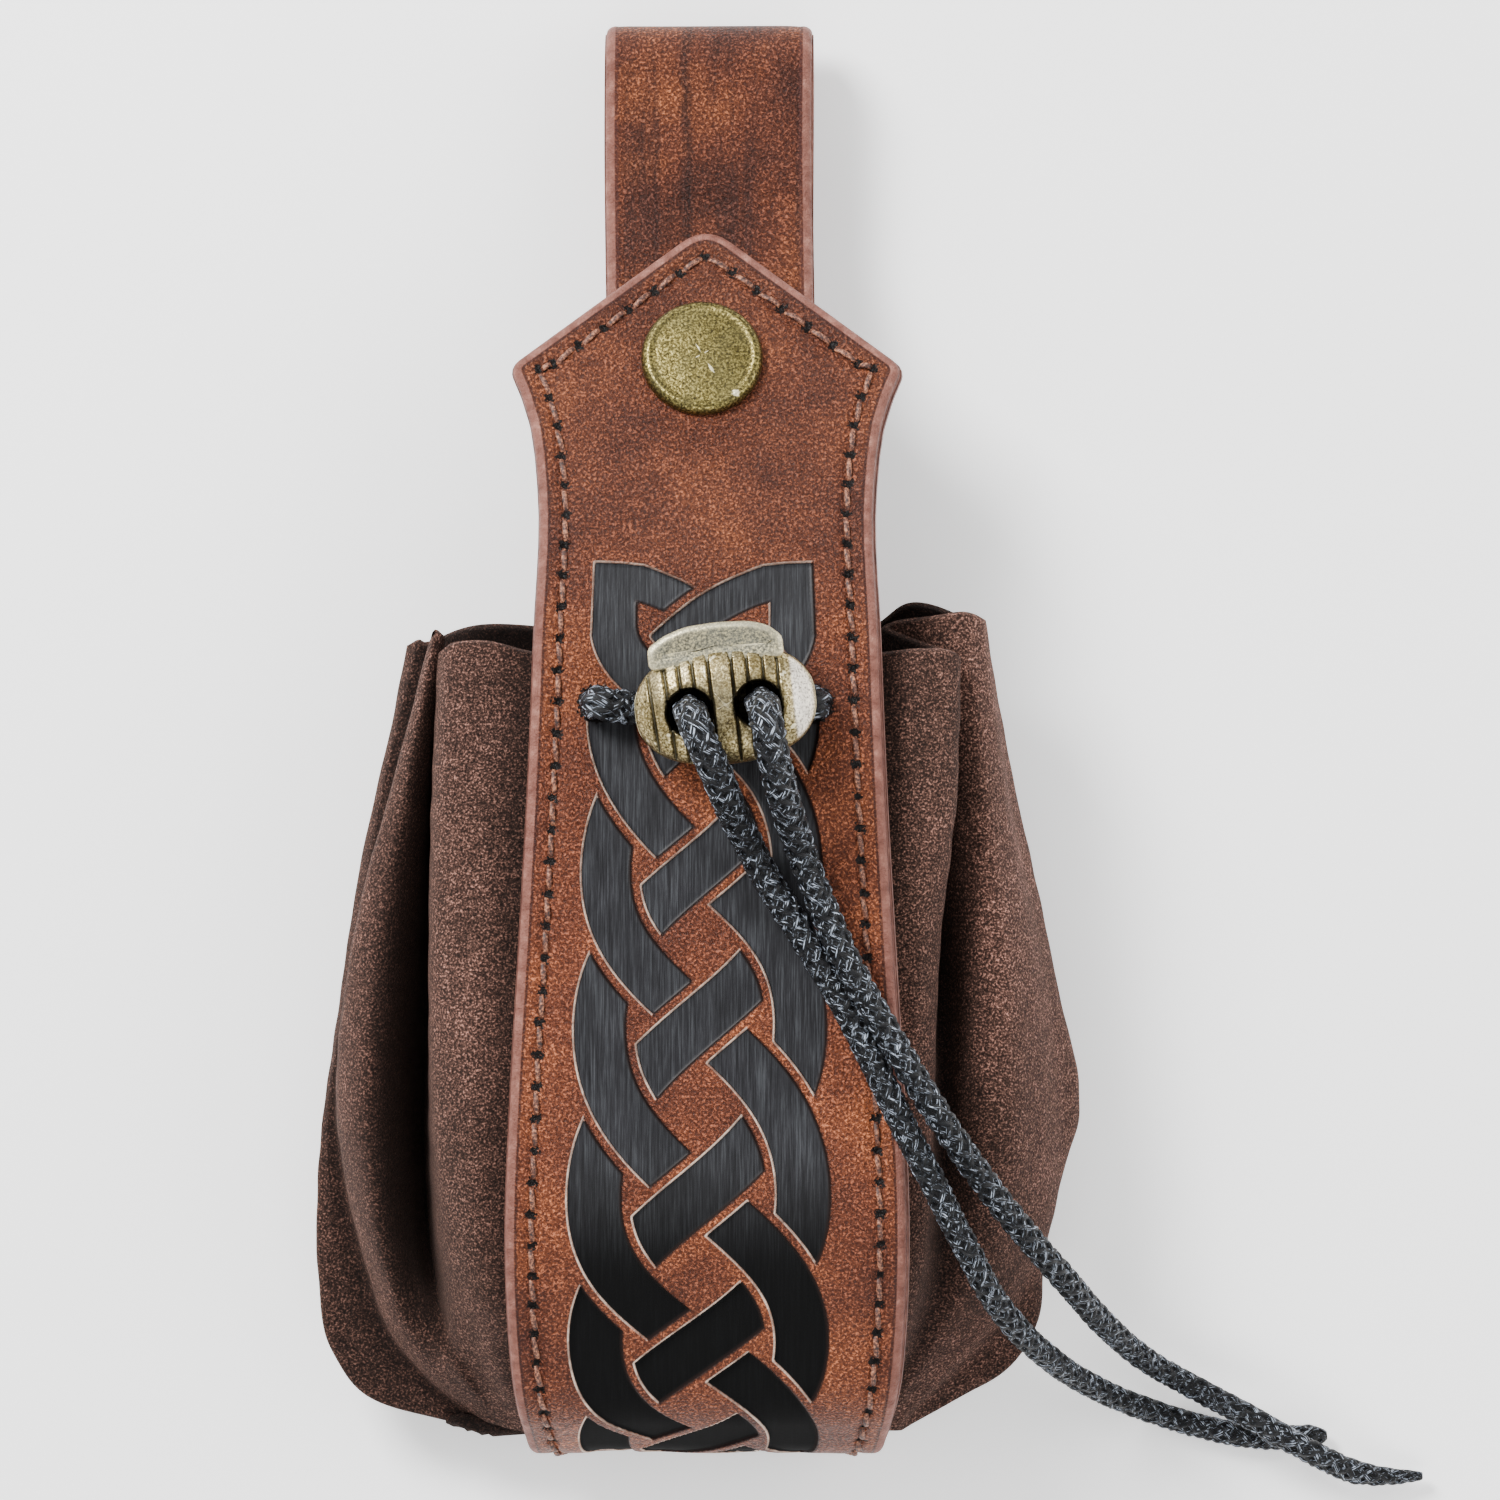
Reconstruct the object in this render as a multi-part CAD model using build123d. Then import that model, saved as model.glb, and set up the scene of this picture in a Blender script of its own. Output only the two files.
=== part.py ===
from build123d import *

import math
import os

# A suede drawstring dice bag held in a leather strap, lying on its back.
# Millimetres. X runs across the bag, Y from its bottom to the belt loop, Z out of its front.
# The origin is at the bottom centre of the box of the bag without its drawstring.

# ---- strap ----
LAYER = 1.4
LINING = 1.2
GLUE_GAP = 0.05
STRAP_THICK = LAYER + GLUE_GAP + LINING
TIP_Y = 63.5
TIP_Z = 19.5
PLATE_SLOPE = 22.0
SHOULDER = (24.6, 46.7)
# The strap's side below its shoulder: half widths and y
STRAP_SIDE = [(22.3, 41.0), (21.0, 32.0), (22.3, -8.0), (24.4, -45.0), (25.0, -64.0), (24.3, -79.0), (21.6, -93.0)]
# How far the apex and the shoulders move for each millimetre that the outline is set in
APEX_MOVES = 1.21
SHOULDER_MOVES = (1.23, 0.37)
BOTTOM_Y = -89.6
STRAP_SPLIT_Z = 12.0
SPLIT_GAP = 0.3
STITCH_INSET = 3.3
THREAD_WIDTH = 0.8
THREAD_DEPTH = 0.4
BACK_STRAP_HALF_WIDTH = 20.0
BACK_STRAP_TOP_Y = 30.0
BACK_OUTLINE_END_Y = -100.0
BACK_STRAP_CORNER = 4.0
APEX_ROUNDING = 2.5
SHOULDER_ROUNDING = 2.0
# The strap's outer face seen from the side, as y and z, with the radius of each bend
PLATE_OVERRUN = 3.0
PLATE_END_Y = 20.0
FRONT_SIDE = [(-10.0, 41.3), (-62.0, 40.6), (-84.0, 30.0), (BOTTOM_Y, 18.0)]
FRONT_RADII = [80, 150, 40, 14, 11]
BACK_SIDE = [(BOTTOM_Y, 4.5), (-83.0, 0.0), (BACK_STRAP_TOP_Y, 0.0)]
BACK_RADII = [6, 10]
# Stock that the strap's layers are cut from: wider and higher than the strap itself
STOCK_WIDTH = 70
STOCK_HEIGHT = 60

# ---- pouch ----
POUCH_WALL = 2.0
MOUTH_Y = 14.0
# Sections of the pouch: y, half width, lowest z, highest z
POUCH_SECTIONS = [
    (-86.6, 24.0, 9.0, 16.5),
    (-83.0, 33.5, 6.0, 23.0),
    (-73.0, 43.4, 3.4, 31.0),
    (-54.0, 47.7, 3.0, 37.2),
    (-30.0, 45.6, 3.2, 37.4),
    (-8.0, 41.0, 5.3, 35.6),
    (MOUTH_Y, 36.0, 5.6, 31.0),
]

# ---- belt loop ----
LOOP_WIDTH = 25.9
LOOP_CENTRE_X = 0.5
LOOP_THICK = 2.2
LOOP_TOP_Y = 89.6
TAB_Z = 11.8
TAB_BEND_Y = 66.0
TAB_END_Y = 37.0
TAB_BEND_RADIUS = 20.0
REAR_LEG_END_Y = -6.0
REAR_LEG_Z = STRAP_THICK + LOOP_THICK / 2
RIVET_Y = 22.0
RIVET_SPACING = 13.0
RIVET_RADIUS = 3.5
RIVET_POST_RADIUS = 1.2
RIVET_HEAD = 0.6
RIVET_CAP = 1.0
RIVET_CAP_ROUNDING = 0.6

# ---- snap fastener ----
SNAP_X = -0.5
SNAP_Y = 47.3
SHANK_RADIUS = 1.8
SHANK_END = STRAP_THICK + 0.8
SHANK_CLEARANCE = 0.1
# The cap's dome from its middle to its rim: radius and height
CAP_DOME = [(0, 2.0), (4.0, 1.8), (6.4, 1.3), (7.2, 0.7), (7.6, 0.3), (7.6, 0)]
SOCKET_RADIUS = 5.8
SOCKET_BORE = 2.6
SOCKET_LIP = 1.2
SOCKET_DEPTH = 2.1
SOCKET_BEVEL = 0.6
STUD_RADIUS = 2.0
STUD_HEIGHT = 1.2
STUD_BEVEL = (0.3, 0.2)
STUD_GAP = 0.02
POST_RADIUS = SHANK_RADIUS - 0.15
POST_FLANGE_RADIUS = 4.5
POST_FLANGE = 0.7

# ---- cord lock ----
LOCK_X = 2.45
LOCK_Y = 4.2
LOCK_TURN = 6.4
LOCK_WIDTH = 22.75
LOCK_HEIGHT = 14.9
LOCK_THICK = 7.0
LOCK_CORNER = 6.6
LOCK_BOTTOM_Z = 43.2
LOCK_MID_Z = LOCK_BOTTOM_Z + LOCK_THICK / 2
CORD_HOLE_X = 4.48
CORD_HOLE_DROP = -0.4
CORD_HOLE_DIAMETER = 6.0
GROOVES = 9
GROOVE_PITCH = 1.75
GROOVE_WIDTH = 0.7
GROOVE_DEPTH = 0.4
LOCK_EDGE_ROUNDING = 1.2
POCKET_WIDTH = 17.3
POCKET_THICK = 4.3
POCKET_FLOOR = -5.7
PLUNGER_WIDTH = 16.9
PLUNGER_THICK = 3.9
PLUNGER_BOTTOM = -3.5
PLUNGER_TOP = 10.75
PLUNGER_SHOULDER = 8.9
PLUNGER_TRAVEL = 2.0
PLUNGER_ROUNDING = 2.0
PLUNGER_BEVEL = 1.0
PLUNGER_SLOT_WIDTH = 4.0
SLOT_CLEARANCE = 0.2
SPRING_RADIUS = 1.0
SPRING_WIRE = 0.2
SPRING_TOP = 2.9
SPRING_TURNS = 8
SPRING_GAP = 0.02
SPRING_BORE_CLEARANCE = 0.2

# ---- drawstring ----
CORD_DIAMETER = 3.3
CORD_RADIUS = CORD_DIAMETER / 2
STRAP_HOLE_X = 13.6
STRAP_HOLE_Y = 4.4
STRAP_HOLE_DIAMETER = 4.4
# Longest arc at a bend of a cord, as a share of the shorter run beside it
CORD_ARC_SHARE = 0.45
FEED_START_Z = 34.2
FEED_RUN_Z = 41.3
CORD_JOIN_Z = 47.5
LEFT_CORD_HOLE = (-2.0, 3.3)
RIGHT_CORD_HOLE = (6.9, 4.3)
END_GAP = 0.1

# Routes of the two free ends, from the cord lock to their cut ends
TAIL_LEFT_ROUTE = [
    (-2.0, 3.3, CORD_JOIN_Z),
    (-2.1, 3.3, 55.6),
    (1.4, -4.8, 54.4),
    (4.2, -11.4, 46.0),
    (8.4, -19.0, 43.6),
    (13.6, -28.0, 43.8),
    (18.4, -37.0, 43.4),
    (22.6, -46.2, 43.6),
    (27.2, -55.0, 42.2),
    (31.6, -63.4, 39.4),
    (36.2, -70.8, 33.6),
    (41.4, -76.4, 24.0),
    (47.0, -80.6, 12.8),
    (54.2, -84.0, 4.2),
    (62.2, -86.6, 1.75),
    (70.4, -88.3, 1.75),
    (78.2, -87.7, 1.75),
]
TAIL_RIGHT_ROUTE = [
    (6.9, 4.3, CORD_JOIN_Z),
    (7.1, 4.2, 55.8),
    (8.8, -4.6, 54.6),
    (10.9, -11.6, 46.4),
    (13.8, -19.2, 44.2),
    (18.2, -28.4, 45.0),
    (23.4, -36.8, 44.6),
    (28.4, -44.9, 43.4),
    (33.8, -53.0, 40.8),
    (39.4, -60.6, 36.6),
    (44.6, -67.2, 29.4),
    (49.6, -73.2, 18.6),
    (55.0, -78.0, 8.6),
    (61.4, -81.6, 3.8),
    (68.4, -85.2, 6.4),
    (76.6, -90.0, 6.4),
    (83.4, -93.2, 2.4),
    (90.2, -92.8, 1.75),
]
# The stretch inside the mouth, seen along Y: x and z
MOUTH_LOOP_HALF = [
    (13.6, 33.9),
    (14.2, 27.4),
    (24.4, 25.2),
    (30.6, 20.0),
    (24.4, 14.6),
    (8.2, 12.0),
]


def plate_z(y):
    """Height of the strap's outer face where the strap's pointed plate slopes down to its tip."""
    return TIP_Z + (TIP_Y - y) * math.tan(math.radians(PLATE_SLOPE))


def yz_point(point):
    y, z = point
    return Vector(0, y, z)


def band(corners, radii, depth, thickness, width):
    """A strip bent along a line in the YZ plane, its outer face depth below that line."""
    line = FilletPolyline(*[yz_point(p) for p in corners], radius=radii)
    outer = offset_wire(line, depth)
    inner = offset_wire(line, depth + thickness)
    ends = [Line(outer @ 0, inner @ 0), Line(outer @ 1, inner @ 1)]
    face = make_face(outer.edges() + inner.edges() + ends)
    return extrude(face, amount=width / 2, dir=(1, 0, 0), both=True)


def offset_wire(line, distance):
    """The same line moved inward by distance, arc by arc."""
    edges = []
    for edge in line.edges():
        edges.append(offset_edge(edge, distance))
    return Wire(edges)


def offset_edge(edge, distance):
    start = inward(edge, 0, distance)
    middle = inward(edge, 0.5, distance)
    end = inward(edge, 1, distance)
    if edge.geom_type == GeomType.LINE:
        return Edge.make_line(start, end)
    return Edge.make_three_point_arc(start, middle, end)


def inward(edge, at, distance):
    tangent = edge % at
    return edge @ at + Vector(0, tangent.Z, -tangent.Y) * (-distance)


def front_side():
    """The strap's outer face seen from the side, from past its tip to the bottom bend's split."""
    plate = [(y, plate_z(y)) for y in (TIP_Y + PLATE_OVERRUN, PLATE_END_Y)]
    return plate + FRONT_SIDE + [(BOTTOM_Y, STRAP_SPLIT_Z + SPLIT_GAP / 2)]


def back_side():
    """The strap's outer face seen from the side, from the bottom bend's split to its top end."""
    return [(BOTTOM_Y, STRAP_SPLIT_Z - SPLIT_GAP / 2)] + BACK_SIDE


def front_layer(depth, thickness):
    return band(front_side(), FRONT_RADII, depth, thickness, STOCK_WIDTH)


def back_layer(depth, thickness):
    return band(back_side(), BACK_RADII, depth, thickness, STOCK_WIDTH)


def front_outline(inset=0.0):
    """The strap's pointed outline seen from the front, running on past the bottom bend."""
    apex_y = TIP_Y - APEX_MOVES * inset
    x = SHOULDER[0] - SHOULDER_MOVES[0] * inset
    y = SHOULDER[1] - SHOULDER_MOVES[1] * inset
    side = Spline((x, y), *[(side_x - inset, side_y) for side_x, side_y in STRAP_SIDE])
    end_x = STRAP_SIDE[-1][0] - inset
    end_y = STRAP_SIDE[-1][1]
    top = Line((0, apex_y), (x, y))
    bottom = Line((end_x, end_y), (0, end_y))
    middle = Line((0, end_y), (0, apex_y))
    half = make_face([top, side, bottom, middle])
    face = half + mirror(half, about=Plane.YZ)
    shoulders = face.vertices().filter_by(lambda v: abs(v.Y - y) < 0.01 and abs(v.X) > x / 2)
    face = fillet(shoulders, SHOULDER_ROUNDING)
    apex = face.vertices().filter_by(lambda v: abs(v.Y - apex_y) < 0.01)
    return fillet(apex, APEX_ROUNDING)


def back_outline(inset=0.0):
    """The strap's back seen from above, from its rounded top end to past the bottom bend."""
    length = BACK_STRAP_TOP_Y - BACK_OUTLINE_END_Y
    width = 2 * (BACK_STRAP_HALF_WIDTH - inset)
    rectangle = RectangleRounded(width, length - 2 * inset, BACK_STRAP_CORNER)
    return Pos(0, BACK_STRAP_TOP_Y - length / 2) * rectangle


def thread_ring(outline, height):
    """The narrow wall over the line that the stitching follows, set in from the strap's edge."""
    ring = outline(STITCH_INSET) - outline(STITCH_INSET + THREAD_WIDTH)
    return extrude(ring, amount=height)


def snap_plane(depth=0.0):
    """The plate's outer face at the snap, or a parallel plane depth below it."""
    slope = math.radians(PLATE_SLOPE)
    normal = Vector(0, math.sin(slope), math.cos(slope))
    origin = Vector(SNAP_X, SNAP_Y, plate_z(SNAP_Y)) - normal * depth
    return Plane(origin=origin, x_dir=(1, 0, 0), z_dir=normal)


def cord_holes(bottom, top):
    """Two plugs that cut the drawstring's holes between two heights."""
    holes = []
    for side in (-1, 1):
        place = Pos(side * STRAP_HOLE_X, STRAP_HOLE_Y, (bottom + top) / 2)
        holes.append(place * Cylinder(STRAP_HOLE_DIAMETER / 2, top - bottom))
    return holes


def front_strap():
    """Outer layer, lining and stitching of the strap's front, from its tip to the bottom bend."""
    prism = extrude(front_outline(), amount=STOCK_HEIGHT)
    shank_hole = snap_plane() * Cylinder(SHANK_RADIUS + SHANK_CLEARANCE, 4 * STRAP_THICK)
    cuts = [shank_hole] + cord_holes(STOCK_HEIGHT / 2, STOCK_HEIGHT)
    outer = prism & front_layer(0, LAYER)
    lining = prism & front_layer(LAYER + GLUE_GAP, LINING)
    thread = thread_ring(front_outline, STOCK_HEIGHT) & front_layer(0, THREAD_DEPTH)
    outer = outer - cuts - thread
    lining = lining - cuts
    return outer, lining, thread


def back_strap():
    """Outer layer, lining and stitching of the strap's back, from the bottom bend to its top end."""
    prism = extrude(back_outline(), amount=STRAP_SPLIT_Z)
    thread = thread_ring(back_outline, STRAP_SPLIT_Z) & back_layer(0, THREAD_DEPTH)
    outer = prism & back_layer(0, LAYER)
    lining = prism & back_layer(LAYER + GLUE_GAP, LINING)
    posts = rivet_places(Cylinder(RIVET_POST_RADIUS, 4 * STRAP_THICK))
    recesses = rivet_places(Pos(0, 0, RIVET_HEAD / 2) * Cylinder(RIVET_RADIUS, RIVET_HEAD))
    return outer - thread - posts - recesses, lining - posts, thread


def rivet_places(shape):
    """The shape at each of the two rivets."""
    x = RIVET_SPACING / 2
    return [Pos(LOOP_CENTRE_X + side * x, RIVET_Y, 0) * shape for side in (-1, 1)]


def rivets():
    """Two rivets that hold the belt loop's rear leg to the strap's back: heads, posts and caps."""
    leg_top = STRAP_THICK + LOOP_THICK
    base = Pos(0, 0, RIVET_HEAD / 2) * Cylinder(RIVET_RADIUS, RIVET_HEAD)
    post_length = leg_top - RIVET_HEAD
    post = Pos(0, 0, RIVET_HEAD + post_length / 2) * Cylinder(RIVET_POST_RADIUS, post_length)
    cap = Cylinder(RIVET_RADIUS, RIVET_CAP)
    cap = fillet(cap.edges().sort_by(Axis.Z)[-1], RIVET_CAP_ROUNDING)
    cap = Pos(0, 0, leg_top + RIVET_CAP / 2) * cap
    return rivet_places(base + post), rivet_places(cap)


def belt_loop():
    """Rear leg and top fold of the belt loop, and the front leg that opens with the snap."""
    fold_radius = (TAB_Z - REAR_LEG_Z) / 2 + LOOP_THICK / 2
    fold_y = LOOP_TOP_Y - fold_radius
    fold_z = (TAB_Z + REAR_LEG_Z) / 2
    section = Pos(LOOP_CENTRE_X, 0, 0)
    ring = Cylinder(fold_radius, LOOP_WIDTH) - Cylinder(fold_radius - LOOP_THICK, LOOP_WIDTH)
    ring = Rot(0, 90, 0) * ring
    half = Pos(0, fold_radius, 0) * Box(2 * LOOP_WIDTH, 2 * fold_radius, 4 * fold_radius)
    fold = section * Pos(0, fold_y, fold_z) * (ring & half)
    leg_length = fold_y - REAR_LEG_END_Y
    leg = Pos(0, REAR_LEG_END_Y + leg_length / 2, REAR_LEG_Z) * Box(LOOP_WIDTH, leg_length, LOOP_THICK)
    rear = fold + section * leg
    rear = rear - rivet_places(Cylinder(RIVET_POST_RADIUS, 4 * REAR_LEG_Z))
    top_z = TAB_Z + LOOP_THICK / 2
    rise = (TAB_BEND_Y - TAB_END_Y) * math.tan(math.radians(PLATE_SLOPE))
    corners = [(fold_y - SPLIT_GAP, top_z), (TAB_BEND_Y, top_z), (TAB_END_Y, top_z + rise)]
    strip = section * band(corners, [TAB_BEND_RADIUS], 0, LOOP_THICK, LOOP_WIDTH)
    tab = strip - snap_plane() * Cylinder(SHANK_RADIUS - SHANK_CLEARANCE, 2 * TAB_Z)
    return rear, tab


def tab_depth():
    """Distance from the plate's outer face to the front leg's upper face, along the snap's axis."""
    rise = (TAB_BEND_Y - SNAP_Y) * math.tan(math.radians(PLATE_SLOPE))
    top = TAB_Z + LOOP_THICK / 2 + rise
    return (plate_z(SNAP_Y) - top) * math.cos(math.radians(PLATE_SLOPE))


def turned(points, depth=0.0):
    """A solid turned about the snap's axis from a closed outline of radius and height."""
    face = make_face(Polyline(*points, close=True))
    return snap_plane(depth) * revolve(Rot(90, 0, 0) * face, Axis.Z)


def snap():
    """The four parts of the snap: cap and socket in the plate, stud and post in the belt loop."""
    shank = [(SHANK_RADIUS, 0), (SHANK_RADIUS, -SHANK_END), (0, -SHANK_END)]
    cap = turned(CAP_DOME + shank)
    low = -STRAP_THICK - SOCKET_DEPTH
    socket = turned(
        [
            (SHANK_RADIUS, -STRAP_THICK),
            (SOCKET_RADIUS, -STRAP_THICK),
            (SOCKET_RADIUS, low + SOCKET_BEVEL),
            (SOCKET_BORE + SOCKET_LIP, low),
            (SOCKET_BORE, low),
            (SOCKET_BORE, -SHANK_END),
            (SHANK_RADIUS, -SHANK_END),
        ]
    )
    depth = tab_depth() + STUD_GAP
    stud = turned(
        [
            (0, STUD_GAP),
            (STUD_RADIUS, STUD_GAP),
            (STUD_RADIUS, STUD_HEIGHT - STUD_BEVEL[1]),
            (STUD_RADIUS - STUD_BEVEL[0], STUD_HEIGHT),
            (0, STUD_HEIGHT),
        ],
        depth,
    )
    under = -LOOP_THICK
    post = turned(
        [
            (0, 0),
            (POST_RADIUS, 0),
            (POST_RADIUS, under),
            (POST_FLANGE_RADIUS, under),
            (POST_FLANGE_RADIUS, under - POST_FLANGE),
            (0, under - POST_FLANGE),
        ],
        depth,
    )
    return cap, socket, stud, post


def pouch_loft(inset, bottom_shift, mouth_shift):
    """A closed solid through the pouch's sections, made smaller by inset and with its ends moved."""
    rings = []
    for y, half_width, low, high in POUCH_SECTIONS:
        place = Plane(origin=(0, y, (low + high) / 2), x_dir=(1, 0, 0), z_dir=(0, -1, 0))
        rings.append(place * Ellipse(half_width - inset, (high - low) / 2 - inset))
    rings[0] = Pos(0, bottom_shift, 0) * rings[0]
    rings[-1] = Pos(0, mouth_shift, 0) * rings[-1]
    return loft(rings)


def pouch_shell():
    """The suede pouch as a shell with an open mouth, and its two holes for the drawstring."""
    shell = pouch_loft(0, 0, 0) - pouch_loft(POUCH_WALL, POUCH_WALL, 0.01)
    middle_z = (POUCH_SECTIONS[-1][2] + POUCH_SECTIONS[-1][3]) / 2
    return shell - cord_holes(middle_z, STOCK_HEIGHT)


def tube(points, name):
    """A cord's plain tube: straight runs joined by arcs as large as the runs allow."""
    corners = [Vector(*p) for p in points]
    runs = [corners[i + 1] - corners[i] for i in range(len(corners) - 1)]
    radii = []
    for first, second in zip(runs, runs[1:]):
        half_turn = math.radians(first.get_angle(second)) / 2
        radii.append(CORD_ARC_SHARE * min(first.length, second.length) / math.tan(half_turn))
    line = FilletPolyline(*corners, radius=radii)
    section = Plane(origin=line @ 0, z_dir=line % 0) * Circle(CORD_RADIUS)
    solid = sweep(section, path=line)
    expected = math.pi * CORD_RADIUS**2 * line.length
    print(name, "length", round(line.length, 1), "volume ratio", round(solid.volume / expected, 4))
    print("  arc radii", [round(r, 1) for r in radii])
    return solid


def mouth_cord():
    """The drawstring's stretch round the inside of the mouth, up to the strap's underside."""
    left = [(-x, STRAP_HOLE_Y, z) for x, z in MOUTH_LOOP_HALF]
    right = [(x, STRAP_HOLE_Y, z) for x, z in reversed(MOUTH_LOOP_HALF)]
    return tube(left + right, "mouth_cord")


def feed(side, lock_hole, name):
    """The drawstring's stretch through the strap's hole and across into the cord lock."""
    x, y = lock_hole
    corners = [
        (side * STRAP_HOLE_X, STRAP_HOLE_Y, FEED_START_Z),
        (side * STRAP_HOLE_X, STRAP_HOLE_Y, FEED_RUN_Z),
        (x, y, FEED_RUN_Z),
        (x, y, CORD_JOIN_Z - END_GAP),
    ]
    return tube(corners, name)


def lock_place():
    return Pos(LOCK_X, LOCK_Y, LOCK_MID_Z) * Rot(0, 0, LOCK_TURN)


def lock_body():
    """The cord lock's oval body: grooved faces, two cord holes and a pocket for the plunger."""
    oval = RectangleRounded(LOCK_WIDTH, LOCK_HEIGHT, LOCK_CORNER)
    body = Pos(0, 0, -LOCK_THICK / 2) * extrude(oval, amount=LOCK_THICK)
    body = fillet(body.edges().group_by(Axis.Z)[0] + body.edges().group_by(Axis.Z)[-1], LOCK_EDGE_ROUNDING)
    first = -(GROOVES - 1) / 2 * GROOVE_PITCH
    for face_z in (-LOCK_THICK / 2, LOCK_THICK / 2):
        for i in range(GROOVES):
            groove = Box(GROOVE_WIDTH, 2 * LOCK_HEIGHT, 2 * GROOVE_DEPTH)
            groove = Pos(first + i * GROOVE_PITCH, 0, face_z) * groove
            body = body - groove
    pocket = Pos(0, POCKET_FLOOR + LOCK_HEIGHT / 2, 0) * Box(POCKET_WIDTH, LOCK_HEIGHT, POCKET_THICK)
    body = body - pocket
    for side in (-1, 1):
        hole = Pos(side * CORD_HOLE_X, CORD_HOLE_DROP, 0) * Cylinder(CORD_HOLE_DIAMETER / 2, 2 * LOCK_THICK)
        body = body - hole
    return lock_place() * body


def lock_plunger():
    """The cord lock's plunger: arched thumb end, two cord slots and a blind bore for the spring."""
    half = PLUNGER_WIDTH / 2
    outline = [
        Line((-half, PLUNGER_SHOULDER), (-half, PLUNGER_BOTTOM)),
        Line((-half, PLUNGER_BOTTOM), (half, PLUNGER_BOTTOM)),
        Line((half, PLUNGER_BOTTOM), (half, PLUNGER_SHOULDER)),
        ThreePointArc((half, PLUNGER_SHOULDER), (0, PLUNGER_TOP), (-half, PLUNGER_SHOULDER)),
    ]
    plate = Pos(0, 0, -PLUNGER_THICK / 2) * extrude(make_face(outline), amount=PLUNGER_THICK)
    corners = plate.edges().filter_by(Axis.Z).group_by(Axis.Y)
    plate = fillet(corners[-1], PLUNGER_ROUNDING)
    plate = chamfer(plate.edges().filter_by(Axis.Z).group_by(Axis.Y)[0], PLUNGER_BEVEL)
    slot_length = CORD_DIAMETER + PLUNGER_TRAVEL + 2 * SLOT_CLEARANCE
    slot_middle = CORD_HOLE_DROP - CORD_RADIUS - SLOT_CLEARANCE + slot_length / 2
    for side in (-1, 1):
        slot = extrude(Rot(0, 0, 90) * SlotOverall(slot_length, PLUNGER_SLOT_WIDTH), amount=LOCK_THICK, both=True)
        plate = plate - Pos(side * CORD_HOLE_X, slot_middle, 0) * slot
    bore_radius = SPRING_RADIUS + SPRING_WIRE + SPRING_BORE_CLEARANCE
    bore_depth = SPRING_TOP + END_GAP - PLUNGER_BOTTOM
    bore = Rot(90, 0, 0) * Cylinder(bore_radius, 2 * bore_depth)
    plate = plate - Pos(0, PLUNGER_BOTTOM, 0) * bore
    return lock_place() * plate


def lock_spring():
    """The coil spring between the lock body's pocket and the plunger."""
    bottom = POCKET_FLOOR + SPRING_WIRE + SPRING_GAP
    top = SPRING_TOP - SPRING_WIRE
    height = top - bottom
    path = Helix(pitch=height / SPRING_TURNS, height=height, radius=SPRING_RADIUS)
    wire = sweep(Plane(origin=path @ 0, z_dir=path % 0) * Circle(SPRING_WIRE), path=path, is_frenet=True)
    upright = Pos(0, bottom, 0) * Rot(-90, 0, 0)
    return lock_place() * upright * wire


def save(name, shape):
    solids = shape if isinstance(shape, list) else [shape]
    flat = [solid for item in solids for solid in item.solids()]
    export_step(Compound(children=flat) if len(flat) > 1 else flat[0], "parts/" + name + ".step")


def main():
    os.makedirs("parts", exist_ok=True)
    outer, lining, thread = front_strap()
    save("front_strap_outer", outer)
    save("front_strap_lining", lining)
    save("front_stitching", thread)
    outer, lining, thread = back_strap()
    save("back_strap_outer", outer)
    save("back_strap_lining", lining)
    save("back_stitching", thread)
    posts, caps = rivets()
    save("loop_rivet_posts", posts)
    save("loop_rivet_caps", caps)
    rear, tab = belt_loop()
    save("belt_loop", rear)
    save("belt_loop_tab", tab)
    cap, socket, stud, post = snap()
    save("snap_cap", cap)
    save("snap_socket", socket)
    save("snap_stud", stud)
    save("snap_post", post)
    save("pouch_shell", pouch_shell())
    save("mouth_cord", mouth_cord())
    save("cord_feed_left", feed(-1, LEFT_CORD_HOLE, "cord_feed_left"))
    save("cord_feed_right", feed(1, RIGHT_CORD_HOLE, "cord_feed_right"))
    save("cord_tail_left", tube(TAIL_LEFT_ROUTE, "cord_tail_left"))
    save("cord_tail_right", tube(TAIL_RIGHT_ROUTE, "cord_tail_right"))
    save("lock_body", lock_body())
    save("lock_plunger", lock_plunger())
    save("lock_spring", lock_spring())


main()
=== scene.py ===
import math

import bpy
import numpy as np
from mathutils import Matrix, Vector
from mathutils.geometry import delaunay_2d_cdt


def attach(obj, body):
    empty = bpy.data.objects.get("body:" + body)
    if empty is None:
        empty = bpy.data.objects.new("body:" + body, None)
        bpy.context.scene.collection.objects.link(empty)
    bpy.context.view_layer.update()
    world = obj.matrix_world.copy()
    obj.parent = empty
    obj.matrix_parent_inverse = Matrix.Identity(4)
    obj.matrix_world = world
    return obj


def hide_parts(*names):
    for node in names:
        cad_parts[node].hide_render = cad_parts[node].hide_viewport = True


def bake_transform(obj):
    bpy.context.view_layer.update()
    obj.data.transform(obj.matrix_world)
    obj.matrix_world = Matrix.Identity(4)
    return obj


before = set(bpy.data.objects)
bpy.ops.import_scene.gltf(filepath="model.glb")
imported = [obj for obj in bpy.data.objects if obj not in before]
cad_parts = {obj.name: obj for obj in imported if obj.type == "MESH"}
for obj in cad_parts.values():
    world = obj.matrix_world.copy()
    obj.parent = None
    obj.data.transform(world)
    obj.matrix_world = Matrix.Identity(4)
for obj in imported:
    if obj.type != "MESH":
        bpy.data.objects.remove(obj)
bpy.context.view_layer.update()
MM = 0.001

# ------------------------------------------------------------------ camera, light and floor

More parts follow.
